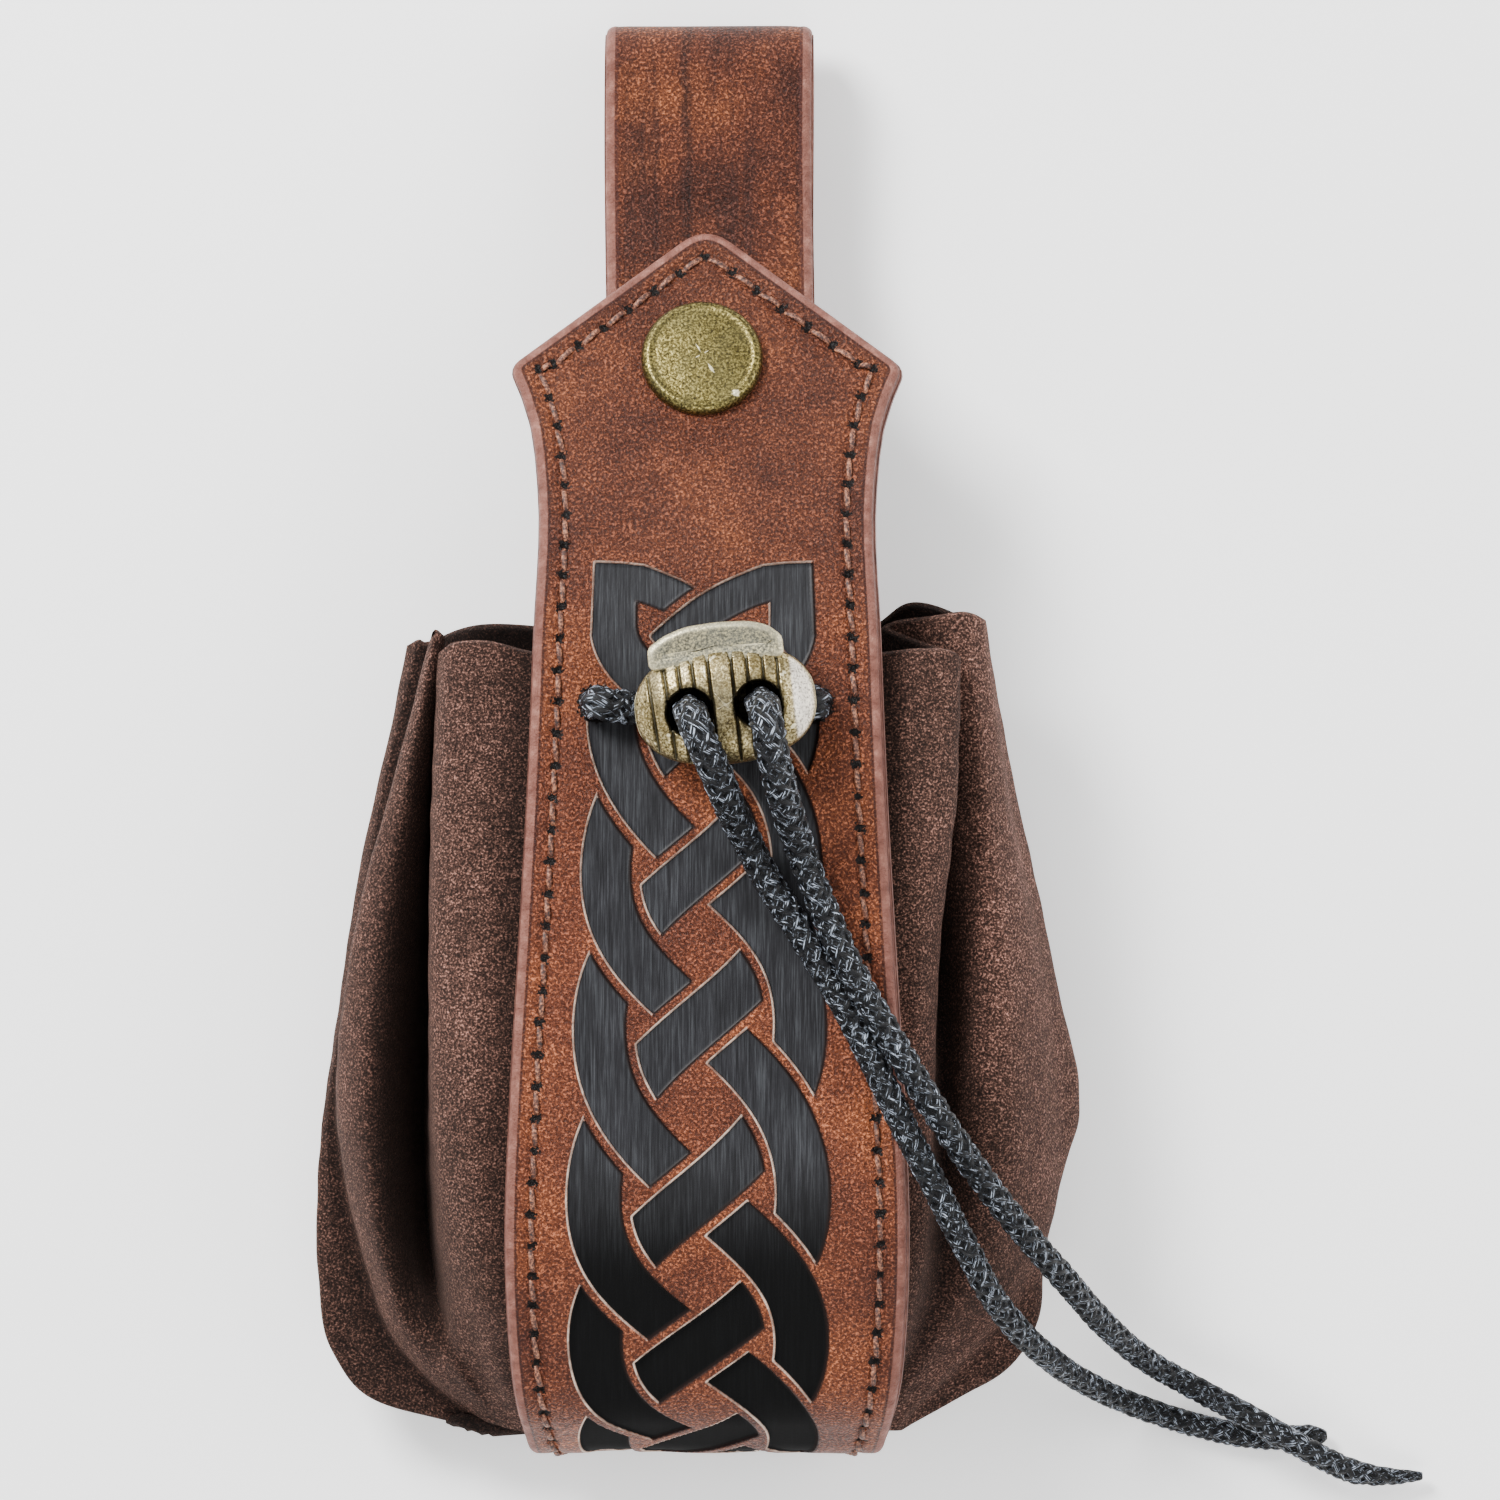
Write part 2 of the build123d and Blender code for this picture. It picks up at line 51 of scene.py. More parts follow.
VIEW_CENTRE = (5.5, -1.4)
VIEW_WIDTH = 187.5
VIEW_HEIGHT_Z = 25.0
CAMERA_DISTANCE = 3000.0
SENSOR = 36.0


def link(obj):
    bpy.context.scene.collection.objects.link(obj)
    return obj


def make_camera():
    data = bpy.data.cameras.new("camera")
    data.sensor_width = SENSOR
    data.lens = SENSOR * CAMERA_DISTANCE / VIEW_WIDTH
    data.clip_end = 20
    camera = link(bpy.data.objects.new("camera", data))
    camera.location = (VIEW_CENTRE[0] * MM, VIEW_CENTRE[1] * MM, (VIEW_HEIGHT_Z + CAMERA_DISTANCE) * MM)
    bpy.context.scene.camera = camera


def area_light(name, place, size, watts, colour=(1, 1, 1)):
    data = bpy.data.lights.new(name, "AREA")
    data.shape = "RECTANGLE"
    data.size, data.size_y = size
    data.energy = watts
    data.color = colour
    lamp = link(bpy.data.objects.new(name, data))
    lamp.location = place
    lamp.rotation_euler = (-Vector(place)).to_track_quat("-Z", "Y").to_euler()


def make_lights():
    area_light("key_light", (-0.45, 0.5, 0.62), (0.34, 0.34), 17.0)
    area_light("fill_light", (0.7, 0.1, 0.5), (0.7, 0.7), 5.0)
    area_light("front_light", (0.0, -0.7, 0.7), (0.9, 0.4), 4.6)
    world = bpy.data.worlds.new("studio")
    bpy.context.scene.world = world
    world.use_nodes = True
    background = world.node_tree.nodes["Background"]
    background.inputs["Color"].default_value = (1.0, 1.0, 1.0, 1)
    background.inputs["Strength"].default_value = 0.72


def make_floor():
    size = 3.0
    corners = [(-size, -size, 0), (size, -size, 0), (size, size, 0), (-size, size, 0)]
    floor = add_mesh("floor", corners, [(0, 1, 2, 3)])
    shader = Shader("pale_floor", 0.9)
    shader.set("Base Color", (1.0, 1.0, 1.0, 1))
    shader.set("Emission Color", (1.0, 1.0, 1.0, 1))
    shader.set("Emission Strength", 0.4)
    floor.data.materials.append(shader.material)
    floor.location.z = -0.0002


# ------------------------------------------------------------------ mesh and shader helpers


def add_mesh(name, vertices, faces):
    mesh = bpy.data.meshes.new(name)
    mesh.from_pydata([tuple(v) for v in vertices], [], [tuple(int(i) for i in f) for f in faces])
    mesh.validate()
    mesh.polygons.foreach_set("use_smooth", [True] * len(mesh.polygons))
    mesh.update()
    return link(bpy.data.objects.new(name, mesh))


def add_attribute(obj, name, values):
    values = np.asarray(values, dtype=float)
    kind = "FLOAT" if values.ndim == 1 else "FLOAT_VECTOR"
    field = "value" if values.ndim == 1 else "vector"
    attribute = obj.data.attributes.new(name, kind, "POINT")
    attribute.data.foreach_set(field, values.ravel())


def srgb(red, green, blue):
    """A colour as seen on screen, 0 to 255, as the light values that shaders use."""
    return tuple(
        (c / 255 / 12.92) if c < 10 else ((c / 255 + 0.055) / 1.055) ** 2.4
        for c in (red, green, blue)
    )


class Shader:
    """A material made of nodes around one Principled shader."""

    def __init__(self, name, roughness=0.5, metallic=0.0):
        self.material = bpy.data.materials.new(name)
        self.material.use_nodes = True
        self.nodes = self.material.node_tree.nodes
        self.bsdf = self.nodes["Principled BSDF"]
        self.set("Roughness", roughness)
        self.set("Metallic", metallic)

    def set(self, socket, value):
        self.bsdf.inputs[socket].default_value = value

    def wire(self, source, target):
        self.material.node_tree.links.new(source, target)

    def feed(self, socket, source):
        self.wire(source, self.bsdf.inputs[socket])

    def coords(self, scale=(1, 1, 1), attribute=None):
        """Places in millimetres, from the object or from a stored flat layout, stretched by scale."""
        if attribute:
            source = self.nodes.new("ShaderNodeAttribute")
            source.attribute_name = attribute
            output = source.outputs["Vector"]
            factor = 1.0
        else:
            source = self.nodes.new("ShaderNodeTexCoord")
            output = source.outputs["Object"]
            factor = 1000.0
        stretch = self.nodes.new("ShaderNodeVectorMath")
        stretch.operation = "MULTIPLY"
        self.wire(output, stretch.inputs[0])
        stretch.inputs[1].default_value = [factor * s for s in scale]
        return stretch.outputs[0]

    def value(self, attribute):
        source = self.nodes.new("ShaderNodeAttribute")
        source.attribute_name = attribute
        return source.outputs["Fac"]

    def noise(self, coords, scale, detail=3.0, roughness=0.55, distortion=0.0):
        node = self.nodes.new("ShaderNodeTexNoise")
        self.wire(coords, node.inputs["Vector"])
        node.inputs["Scale"].default_value = scale
        node.inputs["Detail"].default_value = detail
        node.inputs["Roughness"].default_value = roughness
        node.inputs["Distortion"].default_value = distortion
        return node.outputs["Fac"]

    def split(self, source):
        """The X, Y and Z sockets of a place."""
        node = self.nodes.new("ShaderNodeSeparateXYZ")
        self.wire(source, node.inputs[0])
        return node.outputs

    def ramp(self, source, stops):
        """stops are (position, colour or grey value) pairs."""
        node = self.nodes.new("ShaderNodeValToRGB")
        self.wire(source, node.inputs["Fac"])
        elements = node.color_ramp.elements
        while len(elements) < len(stops):
            elements.new(0.5)
        for element, (position, colour) in zip(elements, stops):
            element.position = position
            if isinstance(colour, (int, float)):
                colour = (colour, colour, colour)
            element.color = (*colour, 1)
        return node.outputs["Color"]

    def math(self, operation, a, b=0.5):
        node = self.nodes.new("ShaderNodeMath")
        node.operation = operation
        for socket, item in zip(node.inputs, (a, b)):
            if isinstance(item, (int, float)):
                socket.default_value = item
            else:
                self.wire(item, socket)
        return node.outputs[0]

    def spread(self, source, low, high, to_low=0.0, to_high=1.0, smooth=False):
        """Maps low..high of the source to to_low..to_high, and holds it at both ends."""
        node = self.nodes.new("ShaderNodeMapRange")
        node.interpolation_type = "SMOOTHSTEP" if smooth else "LINEAR"
        self.wire(source, node.inputs["Value"])
        for socket, item in zip(("From Min", "From Max", "To Min", "To Max"), (low, high, to_low, to_high)):
            node.inputs[socket].default_value = item
        return node.outputs["Result"]

    def mix(self, factor, a, b, blend="MIX"):
        node = self.nodes.new("ShaderNodeMix")
        node.data_type = "RGBA"
        node.blend_type = blend
        sockets = [s for s in node.inputs if s.identifier in ("Factor_Float", "A_Color", "B_Color")]
        for socket, item in zip(sockets, (factor, a, b)):
            if isinstance(item, tuple):
                socket.default_value = (*item, 1) if len(item) == 3 else item
            elif isinstance(item, (int, float)):
                socket.default_value = item
            else:
                self.wire(item, socket)
        return [o for o in node.outputs if o.identifier == "Result_Color"][0]

    def bump(self, height, distance, strength=1.0, under=None):
        node = self.nodes.new("ShaderNodeBump")
        node.inputs["Strength"].default_value = strength
        node.inputs["Distance"].default_value = distance * MM
        self.wire(height, node.inputs["Height"])
        if under:
            self.wire(under, node.inputs["Normal"])
        return node.outputs["Normal"]


def smooth_interp(x, xs, ys):
    """Smooth curve through the points xs, ys, with xs rising, read at x."""
    xs = np.asarray(xs, float)
    ys = np.asarray(ys, float)
    slopes = np.gradient(ys, xs)
    i = np.clip(np.searchsorted(xs, x) - 1, 0, len(xs) - 2)
    h = xs[i + 1] - xs[i]
    t = np.clip((x - xs[i]) / h, 0, 1)
    a = (1 + 2 * t) * (1 - t) ** 2 * ys[i] + t * (1 - t) ** 2 * h * slopes[i]
    b = t * t * (3 - 2 * t) * ys[i + 1] + t * t * (t - 1) * h * slopes[i + 1]
    return a + b


def smoothstep(x, low, high):
    t = np.clip((x - low) / (high - low), 0, 1)
    return t * t * (3 - 2 * t)


def waves(x, y, seed, scale):
    """Slow bumps between about -1 and 1, the same for the same seed."""
    rng = np.random.default_rng(seed)
    total = np.zeros_like(x, dtype=float)
    for _ in range(7):
        angle, phase = rng.uniform(0, 2 * np.pi, 2)
        length = scale * rng.uniform(0.6, 1.6)
        total += np.sin((x * math.cos(angle) + y * math.sin(angle)) * 2 * np.pi / length + phase)
    return total / 3.5


def rounded_line(corners, radii, step=0.4):
    """Points along straight runs joined by tangent arcs, about a step apart."""
    corners = [np.array(c, float) for c in corners]
    points = [corners[0]]
    for i, radius in enumerate(radii, start=1):
        before = corners[i - 1] - corners[i]
        after = corners[i + 1] - corners[i]
        before /= np.linalg.norm(before)
        after /= np.linalg.norm(after)
        half = math.acos(np.clip(before @ after, -1, 1)) / 2
        reach = radius / math.tan(half)
        centre = corners[i] + (before + after) / np.linalg.norm(before + after) * radius / math.sin(half)
        start = corners[i] + before * reach
        end = corners[i] + after * reach
        count = max(3, int(radius * (math.pi - 2 * half) / step))
        for t in np.linspace(0, 1, count):
            spoke = (start - centre) * (1 - t) + (end - centre) * t
            points.append(centre + spoke / np.linalg.norm(spoke) * radius)
    points.append(corners[-1])
    dense = [points[0]]
    for a, b in zip(points, points[1:]):
        count = max(1, int(np.linalg.norm(b - a) / step))
        for t in range(1, count + 1):
            dense.append(a + (b - a) * t / count)
    return np.array(dense)


class Bend:
    """The side view of a strap: maps flat places (x, v, depth) to places on the bent strap."""

    def __init__(self, line, same_y=None):
        self.points = line
        runs = np.linalg.norm(np.diff(line, axis=0), axis=1)
        self.s = np.concatenate([[0], np.cumsum(runs)])
        tangent = np.gradient(line, self.s, axis=0)
        tangent /= np.linalg.norm(tangent, axis=1)[:, None]
        self.out = np.stack([tangent[:, 1], -tangent[:, 0]], axis=1)
        self.falling = slice(0, np.argmin(line[:, 0]) + 1)
        self.offset = 0.0 if same_y is None else same_y + self.s_at(same_y)

    def s_at(self, y):
        part = self.falling
        return np.interp(-np.asarray(y, float), -self.points[part, 0], self.s[part])

    def v_at(self, y):
        return self.offset - self.s_at(y)

    def end_v(self):
        return self.offset - self.s[-1]

    def place(self, x, v, depth):
        s = self.offset - np.asarray(v, float)
        y = np.interp(s, self.s, self.points[:, 0])
        z = np.interp(s, self.s, self.points[:, 1])
        ny = np.interp(s, self.s, self.out[:, 0])
        nz = np.interp(s, self.s, self.out[:, 1])
        size = np.hypot(ny, nz)
        return np.stack([x, y - depth * ny / size, z - depth * nz / size], axis=1) * MM


def closed_normals(ring):
    """Inward unit normals of a closed line that runs clockwise."""
    along = np.roll(ring, -1, axis=0) - np.roll(ring, 1, axis=0)
    along /= np.linalg.norm(along, axis=1)[:, None]
    return np.stack([along[:, 1], -along[:, 0]], axis=1)


def triangulate(rings, inner):
    """Fills the first ring with triangles through the other rings and the inner points."""
    points = [Vector(p) for ring in rings for p in ring] + [Vector(p) for p in inner]
    count = len(rings[0])
    edges = [(i, (i + 1) % count) for i in range(count)]
    out, _, faces, origins, _, _ = delaunay_2d_cdt(points, edges, [], 1, 1e-7)
    keep = [o[0] if o else -1 for o in origins]
    return np.array([tuple(p) for p in out]), faces, np.array(keep)


# ------------------------------------------------------------------ the strap

STRAP_THICK = 2.65
OUTER_DEPTH = 1.38
TIP_Y = 63.5
TIP_Z = 19.5
PLATE_SLOPE = math.tan(math.radians(22.0))
BOTTOM_Y = -89.6
BACK_TOP_Y = 30.0
SHOULDER = (24.6, 46.7)
APEX_ROUND = 7.0
STITCH_INSET = 3.3
STITCH_PITCH = 4.0
SAME_Y = -36.0
CORD_HOLE_X = 13.6
CORD_HOLE_Y = 4.4
CORD_HOLE_RADIUS = 2.4


def plate_z(y):
    return TIP_Z + (TIP_Y - y) * PLATE_SLOPE


STRAP_LINE = rounded_line(
    [
        (TIP_Y + 3, plate_z(TIP_Y + 3)),
        (20.0, plate_z(20.0)),
        (-10.0, 41.3),
        (-62.0, 40.6),
        (-84.0, 30.0),
        (BOTTOM_Y, 18.0),
        (BOTTOM_Y, 4.5),
        (-83.0, 0.0),
        (BACK_TOP_Y, 0.0),
    ],
    [80, 150, 40, 14, 11, 6, 10],
)
strap_bend = Bend(STRAP_LINE, SAME_Y)

WIDTH_FRONT = [
    (46.7, 24.6), (41.0, 22.3), (32.0, 21.0), (12.0, 21.5), (-8.0, 22.3), (-26.0, 23.3),
    (-45.0, 24.4),
]
WIDTH_LOW = [(-64.0, 25.0), (-79.0, 24.3), (-87.0, 22.9)]
width_v = [strap_bend.v_at(y) for y, _ in WIDTH_FRONT + WIDTH_LOW] + [-115.0, -135.0, -260.0]
width_x = [x for _, x in WIDTH_FRONT + WIDTH_LOW] + [20.6, 20.0, 20.0]
width_v, width_x = np.array(width_v)[::-1], np.array(width_x)[::-1]
# How far past the tip lies the sharp corner that the rounded tip is cut from
APEX_OVERSHOOT = 1.3
apex_v = float(strap_bend.v_at(TIP_Y)) + APEX_OVERSHOOT
shoulder_v = float(strap_bend.v_at(SHOULDER[1]))
SHOULDER_FLAT = (SHOULDER[0], shoulder_v)
TOP_SLOPE = (apex_v - shoulder_v) / SHOULDER[0]


def strap_half_width(v):
    return smooth_interp(np.minimum(v, shoulder_v), width_v, width_x)


def strap_ring():
    """The strap's whole outline, laid flat, clockwise from its tip."""
    end_v = strap_bend.end_v() + 0.2
    side_v = np.arange(shoulder_v - 4.0, end_v + 8, -4.0)
    side = [(float(strap_half_width(v)), v) for v in side_v]
    right = [SHOULDER_FLAT] + side + [(20.0, end_v)]
    corners = [(0, apex_v)] + right + [(-x, v) for x, v in reversed(right)] + [(0, apex_v)]
    radii = [2.0] + [12.0] * len(side) + [4.0]
    radii = radii + radii[::-1]
    half = rounded_line(corners, radii, 0.5)
    return round_closing(half, APEX_ROUND)


def round_closing(ring, radius):
    """Rounds the corner where a closed line starts and ends."""
    reach = radius * 0.55
    distance = np.linalg.norm(ring - ring[0], axis=1)
    inner = ring[distance > reach]
    a, b, tip = inner[-1], inner[0], ring[0]
    bridge = [a * (1 - t) ** 2 + tip * 2 * t * (1 - t) + b * t * t for t in np.linspace(0.15, 0.85, 6)]
    return np.concatenate([bridge, inner])


def strap_inset(x, v):
    """Distance from a flat place to the strap's edge, roughly."""
    to_side = strap_half_width(v) - np.abs(x)
    to_top = (apex_v - TOP_SLOPE * np.abs(x) - v) * math.cos(math.atan(TOP_SLOPE))
    to_end = v - strap_bend.end_v()
    return np.minimum(np.minimum(to_side, to_top), to_end)


# ---- the braid pressed into the strap ----

# Heights where the braid's strands cross in its middle and turn at its sides, from the back of the bend
# upwards.
BRAID_LEVELS = [-153.0, -133.5, -114.5, -95.5, -77.0, -56.7, -35.2, -15.8, 2.8, 15.0, 27.0]
LEVEL_AT_START = 7
BRAID_REACH = 0.658
BRAID_BAND = 0.41
BRAID_GAP = 1.22
BRAID_BOTTOM = -148.0
TERMINAL_JOIN = 13.4
DEBOSS = 0.38
BAR_HALF_WIDTH = 2.25
RIGHT_BAR = [(14.5, 21.0), (10.1, 20.35), (4.4, 18.4), (-0.3, 15.7), (-4.1, 12.4), (-7.2, 8.8), (-9.6, 5.6)]
BAR_SHIFT = 0.5
LEFT_BAR = [(round(-x - BAR_SHIFT, 2), v) for x, v in RIGHT_BAR]


def braid_shift(v):
    """The braid sits a little left of the strap's middle, more so lower down."""
    return np.interp(v, [-90.0, -60.0, -36.0, 0.0, 20.0], [-0.9, -0.9, -0.7, -0.3, -0.25])


def braid_strand(k):
    """Centre line of strand k, laid flat, from its top end down, with its half width at each point."""
    v = np.arange(26.0, BRAID_BOTTOM, -0.5)
    quarter = smooth_interp(v, BRAID_LEVELS, np.arange(len(BRAID_LEVELS)) - LEVEL_AT_START)
    turn = np.pi / 2 * (quarter + k)
    reach = BRAID_REACH * strap_half_width(v)
    wave = (np.sin(turn) + 0.05 * np.sin(3 * turn)) / 0.95
    x = (1 - BRAID_BAND / 2) * reach * wave + braid_shift(v)
    line = np.stack([x, v], axis=1)
    half = BRAID_BAND * reach / 2
    if k % 2:
        return terminal_lobe(line, half)
    return terminal_bar(line, half, RIGHT_BAR if k == 2 else LEFT_BAR)


def terminal_bar(line, half, bar):
    """Replaces the top of a strand that crosses the middle with a bar out to the far corner."""
    keep = line[:, 1] < 3.6
    points = smooth_line([(x, v, 0) for x, v in bar + [tuple(line[keep][0])]], 60)[:-1, :2]
    along = np.arange(59) / 58
    bar_half = BAR_HALF_WIDTH + (half[keep][0] - BAR_HALF_WIDTH) * smoothstep(along, 0.55, 1.0)
    bar_half = bar_half + 0.5 * (1 - smoothstep(along, 0.0, 0.3))
    return np.concatenate([points, line[keep]]), np.concatenate([bar_half, half[keep]])


def terminal_lobe(line, half):
    """Runs the outer strand straight up from its widest point into its corner."""
    widest = BRAID_LEVELS[-2]
    keep = line[:, 1] < widest
    x = line[keep][0, 0]
    rise = np.arange(27.0, widest, -0.5)
    top = np.stack([np.full(len(rise), x) - np.sign(x) * 0.003 * (rise - widest) ** 2, rise], axis=1)
    return np.concatenate([top, line[keep]]), np.concatenate([np.full(len(rise), half[keep][0]), half[keep]])


def nearest_on_line(points, line, half):
    """For each point: its distance to the strand's edge, and which way the strand leans there."""
    start, end = line[:-1], line[1:]
    run = end - start
    length2 = (run**2).sum(axis=1)
    best = np.full(len(points), 1e9)
    lean = np.zeros(len(points))
    order = np.argsort(-start[:, 1])
    start, run, length2 = start[order], run[order], length2[order]
    half_width = (half[:-1] + half[1:])[order] / 2
    for chunk in np.array_split(np.arange(len(points)), max(1, len(points) // 1500)):
        p = points[chunk]
        low, high = p[:, 1].min() - 14, p[:, 1].max() + 14
        near = (start[:, 1] > low) & (start[:, 1] < high)
        if not near.any():
            continue
        gap = p[:, None, :] - start[None, near]
        t = np.clip((gap * run[near]).sum(axis=2) / length2[near], 0, 1)
        away = np.linalg.norm(gap - t[:, :, None] * run[near], axis=2) - half_width[near]
        i = away.argmin(axis=1)
        best[chunk] = away[np.arange(len(p)), i]
        lean[chunk] = np.sign(run[near][i, 0] * -run[near][i, 1])
    return best, lean


def braid_distance(points):
    """Signed distance to the edge of the braid's dark pieces: below zero inside them."""
    order = np.argsort(-points[:, 1], kind="stable")
    back = np.argsort(order, kind="stable")
    sorted_points = points[order]
    found = [nearest_on_line(sorted_points, *braid_strand(k)) for k in range(4)]
    total = np.full(len(points), 1e9)
    top = sorted_points[:, 1] > TERMINAL_JOIN
    for k in range(4):
        own, lean = found[k]
        piece = own.copy()
        for other in range(4):
            if other == k:
                continue
            away, other_lean = found[other]
            opposite = (other - k) % 2 == 0
            over = (lean > 0) if opposite else (lean < 0)
            joined = top & (not opposite)
            cut = np.where(over & ~joined, BRAID_GAP - away, -1e9)
            piece = np.maximum(piece, cut)
        total = np.minimum(total, piece)
    return corner_clip(sorted_points, total)[back]


def corner_clip(points, total):
    """Trims the two pointed corners at the top of the braid."""
    x, v = points[:, 0] - braid_shift(points[:, 1]), points[:, 1]
    reach = BRAID_REACH * strap_half_width(v) * 0.985
    top_edge = 22.45 - 0.012 * (13.5 - np.abs(x)) ** 2
    outside = np.maximum(np.abs(x) - reach, v - top_edge)
    return np.where(v > TERMINAL_JOIN, np.maximum(total, outside), total)


# ---- stitching ----


def stitch_holes():
    """Flat places of the needle holes along the strap's edge, evenly spaced from tip to back end."""
    ring = strap_ring()
    line = ring + closed_normals(ring) * STITCH_INSET
    start = np.argmax(line[:, 1])
    line = np.roll(line, -start, axis=0)
    line = np.concatenate([line, line[:1]])
    s = np.concatenate([[0], np.cumsum(np.linalg.norm(np.diff(line, axis=0), axis=1))])
    count = int(round(s[-1] / STITCH_PITCH))
    at = np.linspace(0, s[-1], count + 1)[:-1]
    return np.stack([np.interp(at, s, line[:, 0]), np.interp(at, s, line[:, 1])], axis=1)


def distance_to(points, centres, limit=3.0):
    best = np.full(len(points), limit)
    for centre in centres:
        near = np.abs(points[:, 1] - centre[1]) < limit
        best[near] = np.minimum(best[near], np.linalg.norm(points[near] - centre, axis=1))
    return best


def stitching(name, holes, bend):
    """One lockstitch thread: short slanted stitches that dive into the needle holes."""
    sides = 8
    vertices, faces = [], []
    rng = np.random.default_rng(3)
    for a, b in zip(holes, np.roll(holes, -1, axis=0)):
        along = (b - a) / np.linalg.norm(b - a)
        across = np.array([-along[1], along[0]])
        tilt = rng.uniform(0.1, 0.28)
        length = np.linalg.norm(b - a)
        rows = []
        for t in np.linspace(0.12, 0.88, 9):
            centre = a + along * length * t + across * tilt * (t - 0.5) * 2
            lift = 0.8 * math.sin(math.pi * (t - 0.1) / 0.8) ** 0.5 - 0.66
            thick = 0.33 * (0.7 + 0.3 * math.sin(math.pi * t))
            row = []
            for j in range(sides):
                angle = 2 * math.pi * j / sides
                place = centre + across * thick * math.cos(angle) * 1.15
                row.append((*place, -(lift + thick * 0.75 * math.sin(angle))))
            rows.append(row)
        base = len(vertices)
        vertices.extend(p for row in rows for p in row)
        for r in range(len(rows) - 1):
            for j in range(sides):
                k = (j + 1) % sides
                this_ring = base + r * sides
                next_ring = this_ring + sides
                faces.append((this_ring + j, this_ring + k, next_ring + k, next_ring + j))
        faces.append(tuple(base + j for j in reversed(range(sides))))
        faces.append(tuple(base + (len(rows) - 1) * sides + j for j in range(sides)))
    flat = np.array(vertices)
    places = bend.place(flat[:, 0], flat[:, 1], flat[:, 2])
    obj = add_mesh(name, places, faces)
    add_attribute(obj, "flat", flat[:, :3])
    return obj


# ---- leather slabs ----


def slab(
    name, bend, ring, top_rows, inner, depth_of,
    side_rows, bottom_inset, bottom_depth, bottom_step, inset_of,
):
    """A strip of leather: a fine top face, rounded sides and a plain bottom face, bent to shape."""
    normals = closed_normals(ring)
    rings = [ring + normals * inset for inset in top_rows]
    flat, faces, origin = triangulate(rings, inner)
    count = len(ring)
    insets = np.concatenate(
        [np.full(count, inset) for inset in top_rows] + [inset_of(inner[:, 0], inner[:, 1])]
    )
    inset = insets[origin]
    depth = depth_of(flat, inset)
    ids = {int(o): i for i, o in enumerate(origin)}
    edge = [ids[i] for i in range(count)]
    flat3 = np.concatenate([flat, depth[:, None]], axis=1)
    all_flat = [flat3]
    all_inset = [inset]
    faces = [tuple(f) for f in faces]
    last = edge
    total = len(flat3)
    for row_inset, row_depth in side_rows:
        row = ring + normals * row_inset
        all_flat.append(np.concatenate([row, np.full((count, 1), row_depth)], axis=1))
        all_inset.append(np.full(count, -0.1))
        now = list(range(total, total + count))
        total += count
        for i in range(count):
            k = (i + 1) % count
            faces.append((last[i], now[i], now[k], last[k]))
        last = now
    low_ring = ring + normals * bottom_inset
    xs = np.arange(-30, 30, bottom_step)
    vs = np.arange(ring[:, 1].min(), ring[:, 1].max(), bottom_step)
    grid = np.array([(x, v) for v in vs for x in xs])
    grid = grid[inset_of(grid[:, 0], grid[:, 1]) > bottom_inset + bottom_step * 0.6]
    flat_low, faces_low, origin_low = triangulate([low_ring], grid)
    ids_low = {int(o): i for i, o in enumerate(origin_low)}
    all_flat.append(np.concatenate([flat_low, np.full((len(flat_low), 1), bottom_depth)], axis=1))
    all_inset.append(np.where(origin_low < count, 0.4, 5.0))
    faces.extend(tuple(total + i for i in reversed(f)) for f in faces_low)
    now = [total + ids_low[i] for i in range(count)]
    for i in range(count):
        k = (i + 1) % count
        faces.append((last[i], now[i], now[k], last[k]))
    flat = np.concatenate(all_flat)
    places = bend.place(flat[:, 0], flat[:, 1], flat[:, 2])
    obj = add_mesh(name, places, faces)
    add_attribute(obj, "flat", flat)
    add_attribute(obj, "inset", np.concatenate(all_inset))
    return obj, flat


def hex_grid(x_reach, low, high, step):
    rows = np.arange(low, high, step * 0.87)
    points = []
    for i, v in enumerate(rows):
        xs = np.arange(-x_reach, x_reach, step) + (i % 2) * step / 2
        points.append(np.stack([xs, np.full(len(xs), v)], axis=1))
    return np.concatenate(points)


TOP_ROWS = [0.0, 0.12, 0.28, 0.5, 0.8, 1.15, 1.6]
EDGE_ROUND = 1.0


def edge_drop(inset, radius=EDGE_ROUND):
    t = np.clip(inset, 0, radius)
    return radius * 0.9 - np.sqrt(np.maximum(radius**2 - (radius - t) ** 2, 0)) * 0.9


